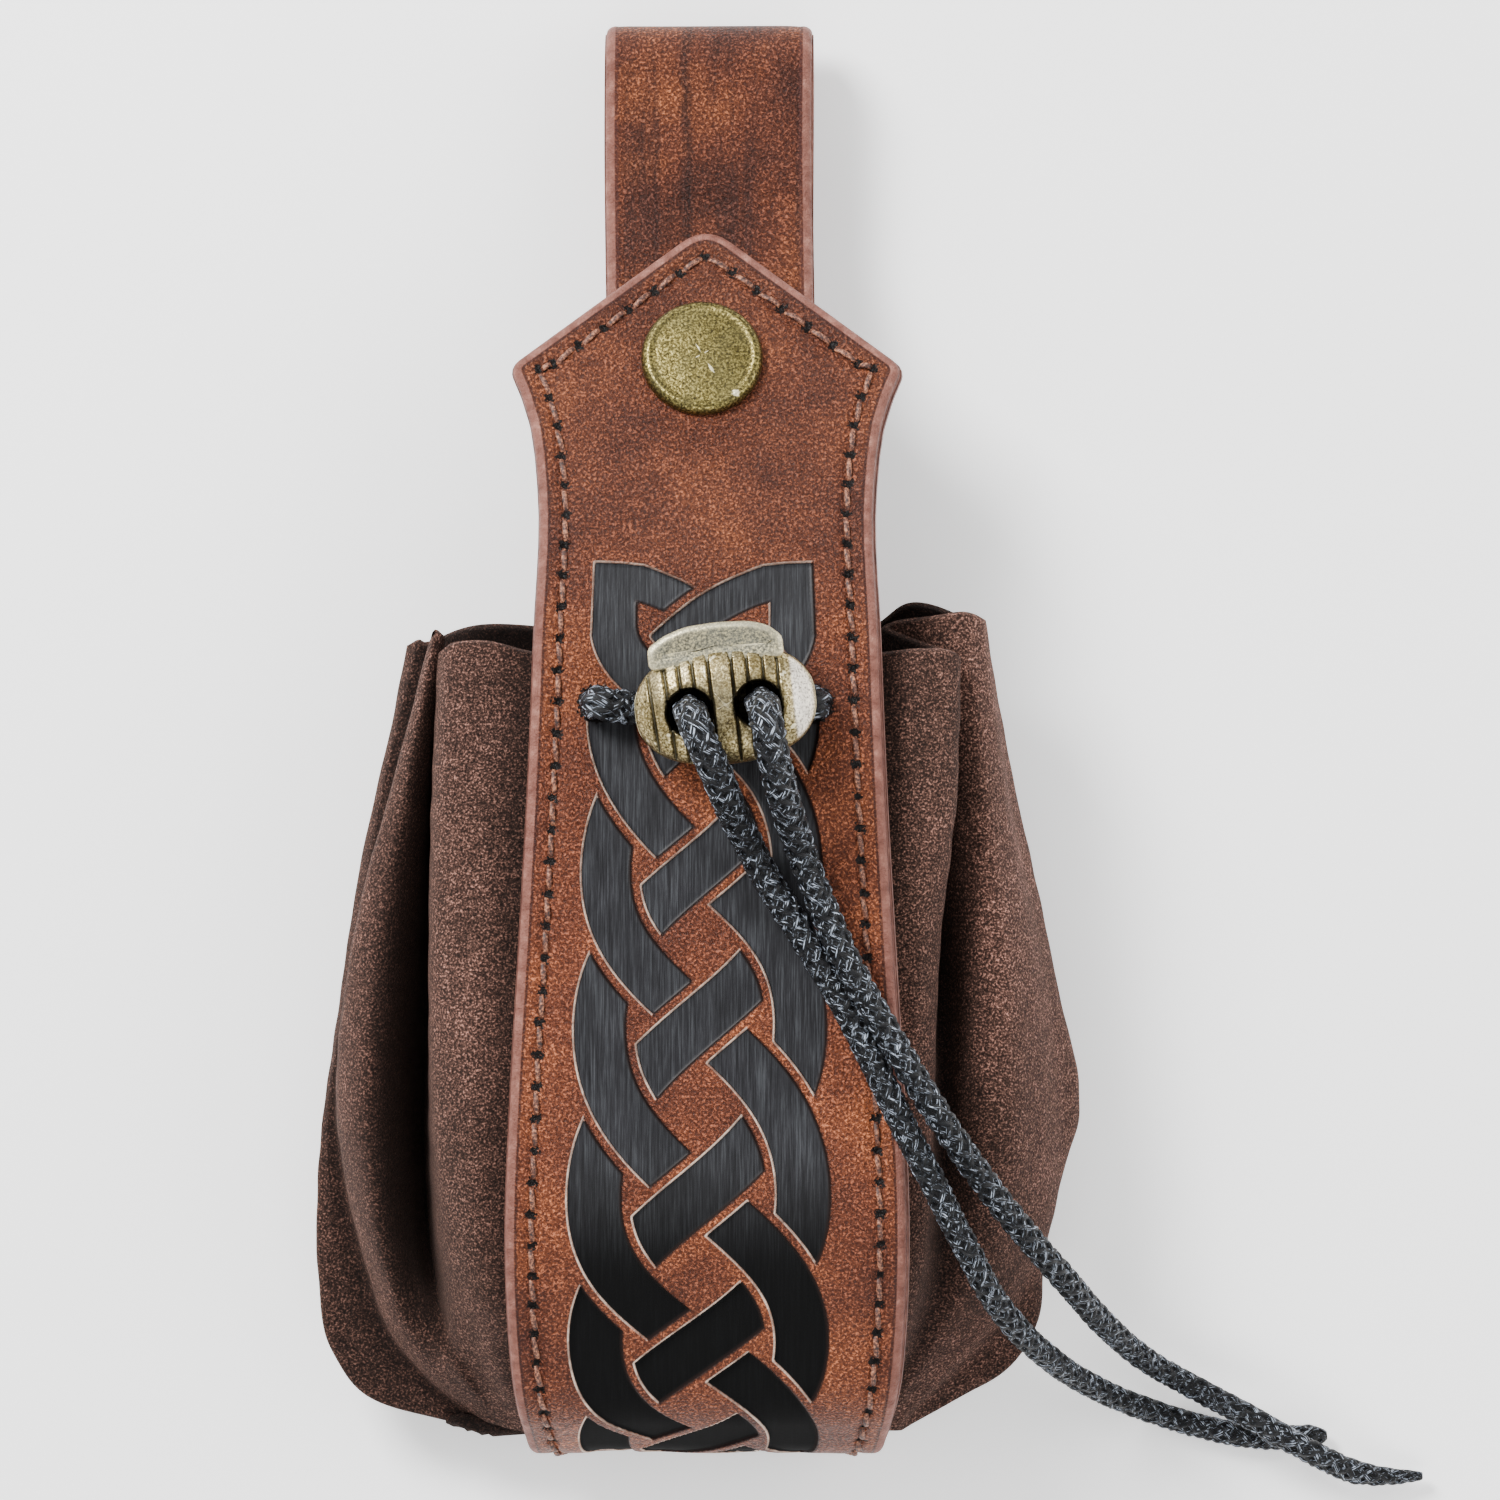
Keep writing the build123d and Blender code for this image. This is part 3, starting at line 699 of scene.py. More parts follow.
def strap_outer():
    ring = strap_ring()
    fine = hex_grid(18.5, -104.0, 26.0, 0.34)
    coarse = hex_grid(30.0, strap_bend.end_v(), apex_v, 0.62)
    taken = (np.abs(coarse[:, 0]) < 18.4) & (coarse[:, 1] > -104.0) & (coarse[:, 1] < 25.8)
    inner = np.concatenate([fine, coarse[~taken]])
    inner = inner[strap_inset(inner[:, 0], inner[:, 1]) > TOP_ROWS[-1] + 0.3]
    holes = stitch_holes()
    cord_holes = np.array([(side * CORD_HOLE_X, CORD_HOLE_Y) for side in (-1, 1)])

    def hole_distance(flat):
        return np.minimum(distance_to(flat, holes), distance_to(flat, cord_holes) - CORD_HOLE_RADIUS + 0.7)

    def depth_of(flat, inset):
        ink = braid_distance(flat)
        pressed = DEBOSS * (1 - smoothstep(ink, -0.25, 0.12))
        hole = distance_to(flat, holes)
        channel = 0.22 * np.exp(-((inset - STITCH_INSET) / 0.8) ** 2)
        pit = 0.5 * np.exp(-((hole / 0.5) ** 2))
        slow = 0.12 * waves(flat[:, 0], flat[:, 1], 5, 26.0) * smoothstep(inset, 1, 5)
        return edge_drop(inset) + pressed + channel + pit + slow

    obj, flat = slab(
        "strap_outer_layer",
        strap_bend,
        ring,
        TOP_ROWS,
        inner,
        depth_of,
        [(-0.06, 1.1), (0.02, 1.28)],
        0.3,
        OUTER_DEPTH,
        3.0,
        strap_inset,
    )
    on_face = flat[:, 2] < OUTER_DEPTH - 0.01
    ink = braid_distance(flat[:, :2])
    to_right = braid_distance(flat[:, :2] + np.array([0.1, 0.0])) - ink
    upward = braid_distance(flat[:, :2] + np.array([0.0, 0.1])) - ink
    add_attribute(obj, "ink", np.where(on_face, ink, 9.0))
    add_attribute(obj, "facing", (upward * 0.55 - to_right * 0.85) / 0.1)
    add_attribute(obj, "hole", np.where(on_face, hole_distance(flat[:, :2]), 3.0))
    return obj


def strap_lining():
    ring = strap_ring() + np.array([0.28, 0.05])
    inner = hex_grid(30.0, strap_bend.end_v(), apex_v, 1.6)
    inner = inner[strap_inset(inner[:, 0], inner[:, 1]) > 1.5]

    def depth_of(flat, inset):
        return 1.42 + 0.5 * edge_drop(inset, 0.5)

    rows = [(-0.12, 1.95), (-0.05, 2.25), (0.12, 2.5)]
    obj, _ = slab(
        "strap_lining_layer", strap_bend, ring, [0.0, 0.25, 0.6], inner, depth_of,
        rows, 0.4, STRAP_THICK, 2.0, strap_inset
    )
    return obj


# ------------------------------------------------------------------ the belt loop

LOOP_WIDTH = 25.9
LOOP_X = 0.5
LOOP_THICK = 2.2
LOOP_CREASE_X = -2.4
LOOP_LINE = rounded_line(
    [(-6.0, 2.65), (89.6, 2.65), (89.6, 12.9), (66.0, 12.9), (37.0, 24.62)], [5.12, 5.12, 8.0]
)
loop_bend = Bend(LOOP_LINE)


def loop_ring():
    """The belt loop's outline, laid flat, clockwise, from the middle of its rear end."""
    half = LOOP_WIDTH / 2
    end = loop_bend.end_v()
    corners = [(0, 0), (half, 0), (half, end), (-half, end), (-half, 0), (0, 0)]
    corners = [(x + LOOP_X, v) for x, v in corners]
    return rounded_line(corners, [3.0, 2.0, 2.0, 3.0], 0.5)[:-1]


def loop_inset(x, v):
    to_side = LOOP_WIDTH / 2 - np.abs(x - LOOP_X)
    return np.minimum(np.minimum(to_side, -v), v - loop_bend.end_v())


def belt_loop():
    ring = loop_ring()
    side = np.sign(ring[:, 0] - LOOP_X)
    long_side = np.abs(ring[:, 0] - LOOP_X) > 12.5
    sway = 0.28 * waves(ring[:, 1], ring[:, 1] * 0 + side, 8, 60.0)
    ring[:, 0] += np.where(long_side, sway, 0)
    inner = hex_grid(15.0, loop_bend.end_v(), 0, 0.8)
    inner = inner[loop_inset(inner[:, 0], inner[:, 1]) > 2.0]

    def depth_of(flat, inset):
        crease = 0.1 * np.exp(-(((inset - 1.9) / 0.35) ** 2))
        return (
            edge_drop(inset, 1.2)
            + crease
            + 0.1 * waves(flat[:, 0], flat[:, 1], 6, 30.0) * smoothstep(inset, 1, 4)
        )

    rows = [(-0.12, 1.1), (-0.12, 1.5), (0.1, 1.95)]
    obj, _ = slab(
        "belt_loop_strip", loop_bend, ring, TOP_ROWS, inner, depth_of, rows, 0.5, LOOP_THICK, 1.5, loop_inset
    )
    return obj


# ------------------------------------------------------------------ cords

TAIL_LEFT_ROUTE = [
    (-0.0020, 0.0033, 0.0475),
    (-0.0021, 0.0033, 0.0556),
    (0.0014, -0.0048, 0.0544),
    (0.0042, -0.0114, 0.0460),
    (0.0084, -0.0190, 0.0436),
    (0.0143, -0.0280, 0.0440),
    (0.0193, -0.0370, 0.0436),
    (0.0235, -0.0462, 0.0438),
    (0.0281, -0.0550, 0.0424),
    (0.0323, -0.0634, 0.0396),
    (0.0362, -0.0708, 0.0336),
    (0.0414, -0.0764, 0.0240),
    (0.0470, -0.0806, 0.0128),
    (0.0542, -0.0840, 0.0042),
    (0.0622, -0.0866, 0.00175),
    (0.0704, -0.0883, 0.00175),
    (0.0782, -0.0877, 0.00175),
]
TAIL_RIGHT_ROUTE = [
    (0.0069, 0.0043, 0.0475),
    (0.0071, 0.0042, 0.0558),
    (0.0088, -0.0046, 0.0546),
    (0.0109, -0.0116, 0.0464),
    (0.0138, -0.0192, 0.0442),
    (0.0177, -0.0284, 0.0452),
    (0.0227, -0.0368, 0.0448),
    (0.0276, -0.0449, 0.0438),
    (0.0330, -0.0530, 0.0412),
    (0.0388, -0.0606, 0.0370),
    (0.0446, -0.0672, 0.0294),
    (0.0496, -0.0732, 0.0186),
    (0.0550, -0.0780, 0.0086),
    (0.0614, -0.0816, 0.0038),
    (0.0684, -0.0852, 0.0064),
    (0.0766, -0.0900, 0.0064),
    (0.0834, -0.0932, 0.0024),
    (0.0902, -0.0928, 0.00175),
]
FEED_LEFT_ROUTE = [
    (-0.0136, 0.0044, 0.0338),
    (-0.0136, 0.0044, 0.0385),
    (-0.0136, 0.0044, 0.0436),
    (-0.0090, 0.0037, 0.0414),
    (-0.0020, 0.0033, 0.0406),
    (-0.0020, 0.0033, 0.0474),
]
FEED_RIGHT_ROUTE = [
    (0.0136, 0.0044, 0.0338),
    (0.0136, 0.0044, 0.0385),
    (0.0136, 0.0044, 0.0430),
    (0.0110, 0.0044, 0.0412),
    (0.0069, 0.0043, 0.0406),
    (0.0069, 0.0043, 0.0474),
]
TAIL_LEFT_LENGTH = 0.1572
TAIL_RIGHT_LENGTH = 0.1618


def route_points(name, route, step=0.35):
    """Evenly spaced points, in mm, along the NURBS spline that has the route as control points."""
    curve = bpy.data.curves.new(name + "_route", "CURVE")
    curve.dimensions = "3D"
    spline = curve.splines.new("NURBS")
    spline.points.add(len(route) - 1)
    for point, place in zip(spline.points, route):
        point.co = (*place, 1)
    spline.order_u = 3
    spline.use_endpoint_u = True
    spline.resolution_u = 24
    holder = bpy.data.objects.new(name + "_route", curve)
    mesh = bpy.data.meshes.new_from_object(holder)
    points = np.array([v.co for v in mesh.vertices]) / MM
    bpy.data.objects.remove(holder)
    s = np.concatenate([[0], np.cumsum(np.linalg.norm(np.diff(points, axis=0), axis=1))])
    at = np.linspace(0, s[-1], int(s[-1] / step) + 1)
    return np.stack([np.interp(at, s, points[:, i]) for i in range(3)], axis=1)


def path_frames(points):
    """Two side directions at each point of a path, without twist."""
    tangent = np.gradient(points, axis=0)
    tangent /= np.linalg.norm(tangent, axis=1)[:, None]
    side = np.cross(tangent[0], (0.3, 1.0, 0.2))
    first, second = [], []
    for t in tangent:
        side = side - t * (side @ t)
        side /= np.linalg.norm(side)
        first.append(side.copy())
        second.append(np.cross(t, side))
    return np.array(first), np.array(second)


def tube_faces(rows, sides, base):
    i = np.arange(rows - 1)[:, None] * sides
    j = np.arange(sides)[None, :]
    k = (j + 1) % sides
    faces = np.stack([i + j, i + k, i + sides + k, i + sides + j], axis=2).reshape(-1, 4) + base
    faces = [tuple(f) for f in faces]
    faces.append(tuple(base + s for s in reversed(range(sides))))
    faces.append(tuple(base + (rows - 1) * sides + s for s in range(sides)))
    return faces


STRANDS_EACH_WAY = 5
BRAID_PITCH = 12.0
STRAND_RADIUS = 0.46
STRAND_SIDES = 7


def braided_cord(name, path, taper=0.0, seed=1):
    """A round braid along the path: strands that pass over and under each other round a dark core."""
    rng = np.random.default_rng(seed)
    first, second = path_frames(path)
    s = np.concatenate([[0], np.cumsum(np.linalg.norm(np.diff(path, axis=0), axis=1))])
    shrink = np.interp(s, [0, 12, 30, 120], [1.34, 1.34, 1.2, 1.0])
    if taper:
        shrink = shrink * (0.3 + 0.7 * np.clip((s[-1] - s) / taper, 0, 1) ** 0.7)
    vertices, faces, strand_id, fibre = [], [], [], []

    def add_tube(centre, radial, sideways, radius, sides, number):
        angle = 2 * np.pi * np.arange(sides) / sides
        ring = (
            centre[:, None]
            + radius[:, None, None] * np.cos(angle)[None, :, None] * radial[:, None]
            + radius[:, None, None] * np.sin(angle)[None, :, None] * sideways[:, None] * 1.12
        )
        base = sum(len(v) for v in vertices)
        vertices.append(ring.reshape(-1, 3))
        faces.extend(tube_faces(len(centre), sides, base))
        strand_id.append(np.full(len(centre) * sides, number))
        round_place = np.tile(np.minimum(angle, 2 * np.pi - angle), len(centre))
        fibre.append(
            np.stack([np.repeat(s, sides), np.full(len(round_place), number * 9.0), round_place], axis=1)
        )

    add_tube(path, first, second, 1.12 * shrink, 10, 0.0)
    for carrier in range(2 * STRANDS_EACH_WAY):
        turn = 1 if carrier < STRANDS_EACH_WAY else -1
        start = (carrier + (0 if turn > 0 else 0.5)) * 2 * np.pi / STRANDS_EACH_WAY
        angle = start + turn * 2 * np.pi * s / BRAID_PITCH
        weave = np.cos(2 * np.pi * STRANDS_EACH_WAY * s / BRAID_PITCH + (0 if turn > 0 else np.pi))
        reach = (1.1 + 0.13 * weave + 0.03 * rng.standard_normal()) * shrink
        radial = np.cos(angle)[:, None] * first + np.sin(angle)[:, None] * second
        sideways = -np.sin(angle)[:, None] * first + np.cos(angle)[:, None] * second
        add_tube(
            path + reach[:, None] * radial, radial, sideways,
            STRAND_RADIUS * shrink, STRAND_SIDES, carrier + 1.0,
        )
    obj = add_mesh(name, np.concatenate(vertices) * MM, faces)
    add_attribute(obj, "strand", np.concatenate(strand_id))
    add_attribute(obj, "fibre", np.concatenate(fibre))
    return obj


def make_cords():
    cord = cord_material()
    tails = [
        ("cord_tail_left", TAIL_LEFT_ROUTE, TAIL_LEFT_LENGTH, 2.0),
        ("cord_tail_right", TAIL_RIGHT_ROUTE, TAIL_RIGHT_LENGTH, 9.0),
    ]
    for seed, (node, route, length, taper) in enumerate(tails):
        path = route_points(node, route)
        piece = braided_cord(node + "_braid", path, taper, seed + 4)
        piece.data.materials.append(cord)
        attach(piece, "cord_lock")
        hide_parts(node)
    for node, route in (("cord_feed_left", FEED_LEFT_ROUTE), ("cord_feed_right", FEED_RIGHT_ROUTE)):
        piece = braided_cord(node + "_braid", route_points(node, route))
        piece.data.materials.append(cord)
        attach(piece, "front_strap")
        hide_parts(node)


# ------------------------------------------------------------------ snap cap, cord lock


def lathe(name, profile, centre, axis, segments=128):
    """Turns a profile of (radius, height) points about the axis at the centre, all in mm."""
    axis = np.array(axis, float) / np.linalg.norm(axis)
    first = np.cross(axis, (1, 0, 0))
    first /= np.linalg.norm(first)
    second = np.cross(axis, first)
    angle = 2 * np.pi * np.arange(segments) / segments
    spokes = np.cos(angle)[:, None] * first + np.sin(angle)[:, None] * second
    rows = [np.array(centre) + r * spokes + h * axis for r, h in profile]
    faces = tube_faces(len(rows), segments, 0)
    return add_mesh(name, np.concatenate(rows) * MM, faces)


SNAP_CENTRE = (-0.5, 47.3, 26.05)
SNAP_AXIS = (0, 0.3746, 0.9272)
SNAP_RADIUS = 7.6


def snap_cap():
    profile = [(r, 2.02 - 0.28 * (r / 6.4) ** 2) for r in np.linspace(0.35, 6.1, 18)]
    profile += [(6.35, 1.8), (6.6, 1.86), (6.85, 1.82), (7.1, 1.66), (7.35, 1.36), (7.52, 0.98), (7.6, 0.6)]
    profile += [(7.55, 0.25), (7.4, 0.02), (6.9, -0.05), (0.05, -0.05)]
    return lathe("snap_cap_dome", profile, SNAP_CENTRE, SNAP_AXIS)


LOCK_CENTRE = (2.45, 4.2)
LOCK_TURN = math.radians(6.4)
LOCK_LOW, LOCK_HIGH = 43.2, 50.2
LOCK_HALF = (11.3, 7.35)
LOCK_HOLES = [(-4.48, -0.45), (4.1, -0.35)]
LOCK_HOLE_RADIUS = 3.02
LOCK_GROOVES = [-9.0, -7.0, -5.25, -3.55, -1.6, 1.25, 3.1, 5.0, 6.75]


def lock_frame(a, b, z):
    """From the lock's own right and up directions to the row frame, in metres."""
    x = LOCK_CENTRE[0] + a * math.cos(LOCK_TURN) - b * math.sin(LOCK_TURN)
    y = LOCK_CENTRE[1] + a * math.sin(LOCK_TURN) + b * math.cos(LOCK_TURN)
    return np.stack([x, y, z], axis=-1) * MM


def lock_outline(angle):
    """The lock seen from above: an ellipse with fuller shoulders."""
    power = 2.35
    c, s = np.cos(angle), np.sin(angle)
    reach = (np.abs(c / LOCK_HALF[0]) ** power + np.abs(s / LOCK_HALF[1]) ** power) ** (-1 / power)
    return reach * c, reach * s


def lock_top(a, b, r):
    """Height of the lock's top at a place, with its ribs, its smooth ends and its two cord holes."""
    middle = (LOCK_LOW + LOCK_HIGH) / 2
    high = LOCK_HIGH - middle
    z = middle + high * np.maximum(1 - r**2.6, 0) ** 0.5
    z -= 0.9 * smoothstep(np.abs(a), 7.5, 11.5)
    ribs = smoothstep(1 - r, 0.0, 0.05)
    for i, groove in enumerate(LOCK_GROOVES):
        lean = 0.05 * (1 - i / 5) * b
        offset = a - groove + lean
        cut = 0.6 * np.exp(-np.abs(offset / 0.2) ** 3)
        z -= cut * ribs
    for hole_a, hole_b in LOCK_HOLES:
        away = np.hypot(a - hole_a, b - hole_b)
        z -= 5.2 * (1 - smoothstep(away, LOCK_HOLE_RADIUS - 0.28, LOCK_HOLE_RADIUS + 0.04))
        z -= 0.16 * np.exp(-(((away - LOCK_HOLE_RADIUS) / 0.3) ** 2))
    return np.maximum(z, LOCK_LOW + 0.9)


def lock_recess(a, b):
    """Where shade is painted: 1 inside the lock's cord holes and the bottoms of its grooves, 0 on its outside."""
    recess_shade = np.zeros_like(a)
    for hole_a, hole_b in LOCK_HOLES:
        away = np.hypot(a - hole_a, b - hole_b)
        recess_shade = np.maximum(recess_shade, 1 - smoothstep(away, LOCK_HOLE_RADIUS - 0.35, LOCK_HOLE_RADIUS - 0.05))
    for i, groove in enumerate(LOCK_GROOVES):
        offset = a - groove + 0.05 * (1 - i / 5) * b
        recess_shade = np.maximum(recess_shade, np.exp(-np.abs(offset / 0.17) ** 3))
    return recess_shade


def lock_body():
    angle = 2 * np.pi * np.arange(420) / 420
    out_a, out_b = lock_outline(angle)
    rings = np.concatenate([np.linspace(0.002, 0.9, 80), np.linspace(0.912, 1.0, 12)])
    places = []
    for r in rings:
        places.append(lock_frame(out_a * r, out_b * r, lock_top(out_a * r, out_b * r, np.full(420, r))))
    middle = (LOCK_LOW + LOCK_HIGH) / 2
    for r, drop in ((0.995, 0.5), (0.97, 1.5), (0.9, 2.6), (0.8, 3.3), (0.55, 3.5), (0.02, 3.5)):
        places.append(lock_frame(out_a * r, out_b * r, np.full(420, middle - drop)))
    obj = add_mesh("lock_body_ribbed", np.concatenate(places), tube_faces(len(places), 420, 0))
    recess_shade = [lock_recess(out_a * r, out_b * r) * smoothstep(1 - r, 0.0, 0.03) for r in rings]
    add_attribute(obj, "recess_shade", np.concatenate(recess_shade + [np.zeros(420)] * (len(places) - len(rings))))
    # Painted highlight on the lock's right end, where its facet catches the light
    end_highlight = [smoothstep(out_a * r, 8.3, 8.7) * smoothstep(1 - r, 0.0, 0.06) for r in rings]
    add_attribute(obj, "end_highlight", np.concatenate(end_highlight + [np.zeros(420)] * (len(places) - len(rings))))
    return obj


PLUNGER_HALF = 8.45
PLUNGER_HIGH = 48.65
# Its hidden end stops short of the cords and the spring when it is pressed in
PLUNGER_END = 5.05


def lock_plunger():
    """The pressed end of the lock: a flat bar with an arched top edge and softly rounded rims."""
    left, right = -PLUNGER_HALF, PLUNGER_HALF
    corners = [
        (0, PLUNGER_END), (left, PLUNGER_END), (left, 8.0), (left + 2.2, 9.3), (-3.5, 10.2),
        (0.5, 10.35),
    ]
    corners += [(4.6, 10.1), (right - 1.6, 9.3), (right, 7.8), (right, PLUNGER_END), (0, PLUNGER_END)]
    outline = rounded_line(corners, [1.0, 1.4, 4.0, 9.0, 12.0, 9.0, 3.0, 1.4, 1.0], 0.3)[:-1]
    outline[:, 0] -= 0.5
    inward = closed_normals(outline)
    rows = [
        (2.0, 0.35), (1.0, 0.0), (0.62, 0.0), (0.35, 0.1), (0.12, 0.32), (0.0, 0.7), (0.0, 3.2),
        (0.4, 3.9),
    ]
    places = []
    centre = np.array([0.0, 7.5])
    for inset, drop in [(None, 0.3)] + rows + [(None, 3.9)]:
        line = outline + inward * inset if inset is not None else centre + (outline - centre) * 0.02
        places.append(lock_frame(line[:, 0], line[:, 1], np.full(len(line), PLUNGER_HIGH - drop)))
    return add_mesh("lock_plunger_bar", np.concatenate(places), tube_faces(len(places), len(outline), 0))


# ------------------------------------------------------------------ the suede pouch

# Each fold is a line from the mouth to the bottom seam, as (x, y, z) points in mm. The folds go round the
# pouch from the front of the left side over its outer edge, along the back and up the right side to the front.
FOLDS_LEFT = [
    [(-14, 9.8, 31.0), (-15, -20, 35.2), (-15, -50, 35.6), (-15, -72, 31.5), (-14, -87, 13.5)],
    [
        (-21.5, 10.6, 32.8), (-22, 0, 34.8), (-22.5, -25, 36.4), (-23, -50, 36.6),
        (-23, -70, 32), (-19, -87.2, 13),
    ],
    [
        (-27.4, 11.9, 33.0), (-28, -6, 35.6), (-29, -30, 36.8), (-29, -52, 36.4), (-28, -68, 32),
        (-26, -78, 24), (-22, -87.2, 12.5),
    ],
    [
        (-32.0, 11.6, 31.6), (-32.6, -6, 33.6), (-33.2, -30, 34.4), (-33, -50, 33.8),
        (-31.4, -66, 30), (-29, -77, 22), (-24, -86.8, 12),
    ],
    [
        (-33.4, 10.8, 29.4), (-34.1, -8, 30.6), (-34.4, -30, 31), (-34, -50, 30),
        (-32.8, -66, 26.5), (-30.6, -77, 20.6), (-25, -86.5, 11.8),
    ],
    [
        (-33.2, 10.6, 20.0), (-34.2, -8, 17), (-34.8, -30, 14), (-35.4, -52, 12.5),
        (-34.2, -67, 15), (-32, -77, 19.8), (-26, -86.2, 11.4),
    ],
    [
        (-32.8, 12.9, 27.8), (-35, -4, 25), (-36.2, -24, 21), (-37.4, -48, 19.4),
        (-36.4, -66, 18.8), (-33.6, -77, 19), (-27, -86, 11.2),
    ],
    [
        (-33.8, 13.1, 28.8), (-37, -4, 28.6), (-40.4, -24, 28), (-42, -48, 26.4),
        (-39.8, -66, 22.8), (-36, -77, 17.6), (-28, -85.6, 11),
    ],
    [
        (-34.5, 12.4, 27.6), (-38.4, -3, 27), (-43.8, -24, 25.4), (-46, -46, 22),
        (-43, -64, 17.6), (-38.4, -76, 14.4), (-29.4, -84.8, 10.4),
    ],
    [
        (-34.6, 11.2, 20.0), (-38.6, -4, 18), (-43.8, -26, 16), (-46.4, -48, 14.4),
        (-44.2, -62, 13), (-39.2, -76, 11.6), (-30.4, -85, 9.6),
    ],
    [
        (-36.2, 12.0, 19.6), (-40.2, -4, 17), (-44.6, -28, 15), (-47.6, -52, 13.4),
        (-46, -66, 12.4), (-42, -77, 11.4), (-31, -85.4, 9.4),
    ],
    [
        (-37.5, 11.7, 17.6),
        (-40.1, -1.4, 14.5),
        (-42.9, -13.9, 13.0),
        (-46.1, -33.9, 12.0),
        (-48.5, -54.7, 11.2),
        (-48.6, -68.0, 10.6),
        (-47.2, -76.5, 10.2),
        (-43.2, -82.0, 9.6),
        (-33.6, -85.4, 9.0),
        (-24.6, -86.8, 8.8),
    ],
    [
        (-34.0, 12.2, 9.5), (-36.0, -10, 5.5), (-40.0, -35, 4.4), (-42.5, -58, 4.2),
        (-38, -77, 5.8), (-25.5, -86.4, 8.2),
    ],
]
FOLDS_BACK = [
    [
        (-27.6, 14.2, 13.0), (-27.0, -10, 3.6), (-28.0, -40, 3.2), (-27.0, -62, 3.4),
        (-24, -79, 5.4), (-17, -86.8, 8.2),
    ],
    [
        (-9.0, 12.6, 9.0), (-10.0, -10, 3.6), (-10.0, -40, 3.2), (-10.0, -62, 3.4),
        (-9, -79, 5.4), (-7, -86.8, 8.2),
    ],
    [(9.0, 12.6, 9.0), (10.0, -10, 3.6), (10.0, -40, 3.2), (10.0, -62, 3.4), (9, -79, 5.4), (7, -86.8, 8.2)],
    [
        (20.6, 13.8, 15.0), (25.0, -10, 3.6), (27.0, -40, 3.2), (26.0, -62, 3.4), (23, -79, 5.4),
        (17, -86.8, 8.2),
    ],
    [
        (25.6, 16.9, 18.0), (29.6, -10, 6.0), (33.0, -40, 4.0), (32.0, -62, 4.0), (28, -79, 5.6),
        (20, -86.8, 8.2),
    ],
]
FOLDS_RIGHT = [
    [
        (31.4, 15.6, 17.0), (36.0, -10, 7.0), (40.0, -35, 4.6), (40.0, -58, 4.4), (34, -76, 5.8),
        (22.6, -86.6, 8.4),
    ],
    [
        (34.6, 14.6, 19.6),
        (37.0, 1.9, 15.0),
        (39.4, -9.3, 13.5),
        (42.0, -21.3, 12.5),
        (44.6, -33.7, 11.8),
        (46.8, -43.4, 11.4),
        (46.9, -46.4, 11.4),
        (44.8, -54.7, 11.0),
        (42.6, -64.6, 10.4),
        (41.7, -73.4, 10.0),
        (38.6, -78.6, 10.0),
        (33.0, -82.2, 9.6),
        (24.6, -86.8, 9.0),
    ],
    [
        (34.9, 14.8, 22.0), (38.2, -8, 18.6), (42.8, -31, 17.6), (44.2, -50, 16.6),
        (39.4, -70, 14), (24.0, -86.8, 10.0),
    ],
    [
        (34.2, 15.2, 24.4), (37.2, -8, 24.0), (40.6, -31, 23.6), (41.8, -50, 22.4),
        (37.4, -69, 18.6), (23.4, -86.8, 10.6),
    ],
    [
        (32.2, 15.5, 25.8), (34.8, -8, 26.8), (37.2, -31, 27.6), (38.2, -50, 27.4),
        (35.4, -67, 22.6), (22.6, -86.8, 11.0),
    ],
    [
        (28.2, 14.9, 25.4), (31.6, -8, 25.4), (33.2, -31, 26.8), (34.0, -50, 28.6),
        (32.4, -67, 24), (22.0, -86.8, 11.6),
    ],
    [
        (23.0, 13.9, 23.4), (27.4, -8, 21.4), (28.8, -27, 21.4), (29.4, -46, 25.4),
        (29.2, -67, 24.0), (21.2, -86.8, 12.0),
    ],
    [
        (31.7, 10.2, 29.4), (31.2, -8, 31.0), (29.2, -25, 31.6), (28.0, -46, 33.6),
        (26.8, -67, 29.8), (20.4, -86.9, 12.4),
    ],
    [
        (30.4, 10.8, 31.8), (29.8, -8, 33.8), (27.4, -25, 34.8), (26.0, -46, 35.6),
        (25.0, -68, 31), (19.6, -87.0, 12.8),
    ],
    [
        (26.2, 10.9, 33.2), (25.8, -8, 35.4), (23.8, -28, 36.2), (22.6, -50, 36.2),
        (22.4, -70, 31.6), (18.4, -87.1, 13.0),
    ],
    [
        (21.6, 10.4, 32.8), (21.0, -8, 35.0), (19.4, -28, 36.2), (18.8, -50, 36.2),
        (18.6, -70, 31.8), (16.0, -87.2, 13.2),
    ],
    [(14, 9.8, 31.0), (14, -20, 35.2), (13, -50, 35.6), (13, -72, 31.5), (12, -87, 13.5)],
]
# Painted light and shade along each fold: 1 for a lit crest, 0 for a deep shaded fold. One value for each place
# down it.
PAINTED_LIGHT_PLACES = (0.0, 0.35, 0.74, 0.88)
PAINTED_LIGHT_LEFT = [
    (0.4, 0.4, 0.4, 0.4),
    (0.5, 0.5, 0.45, 0.45),
    (0.95, 1.05, 0.85, 0.8),
    (0.95, 1.0, 0.8, 0.85),
    (0.8, 0.75, 0.6, 0.8),
    (0.15, 0.0, 0.0, 0.7),
    (0.6, 0.06, 0.02, 0.75),
    (0.9, 0.55, 0.45, 0.8),
    (0.9, 0.9, 0.85, 0.85),
    (0.2, 0.3, 0.35, 0.35),
    (0.6, 0.6, 0.55, 0.5),
    (0.8, 0.75, 0.7, 0.6),
    (0.6, 0.6, 0.6, 0.5),
]
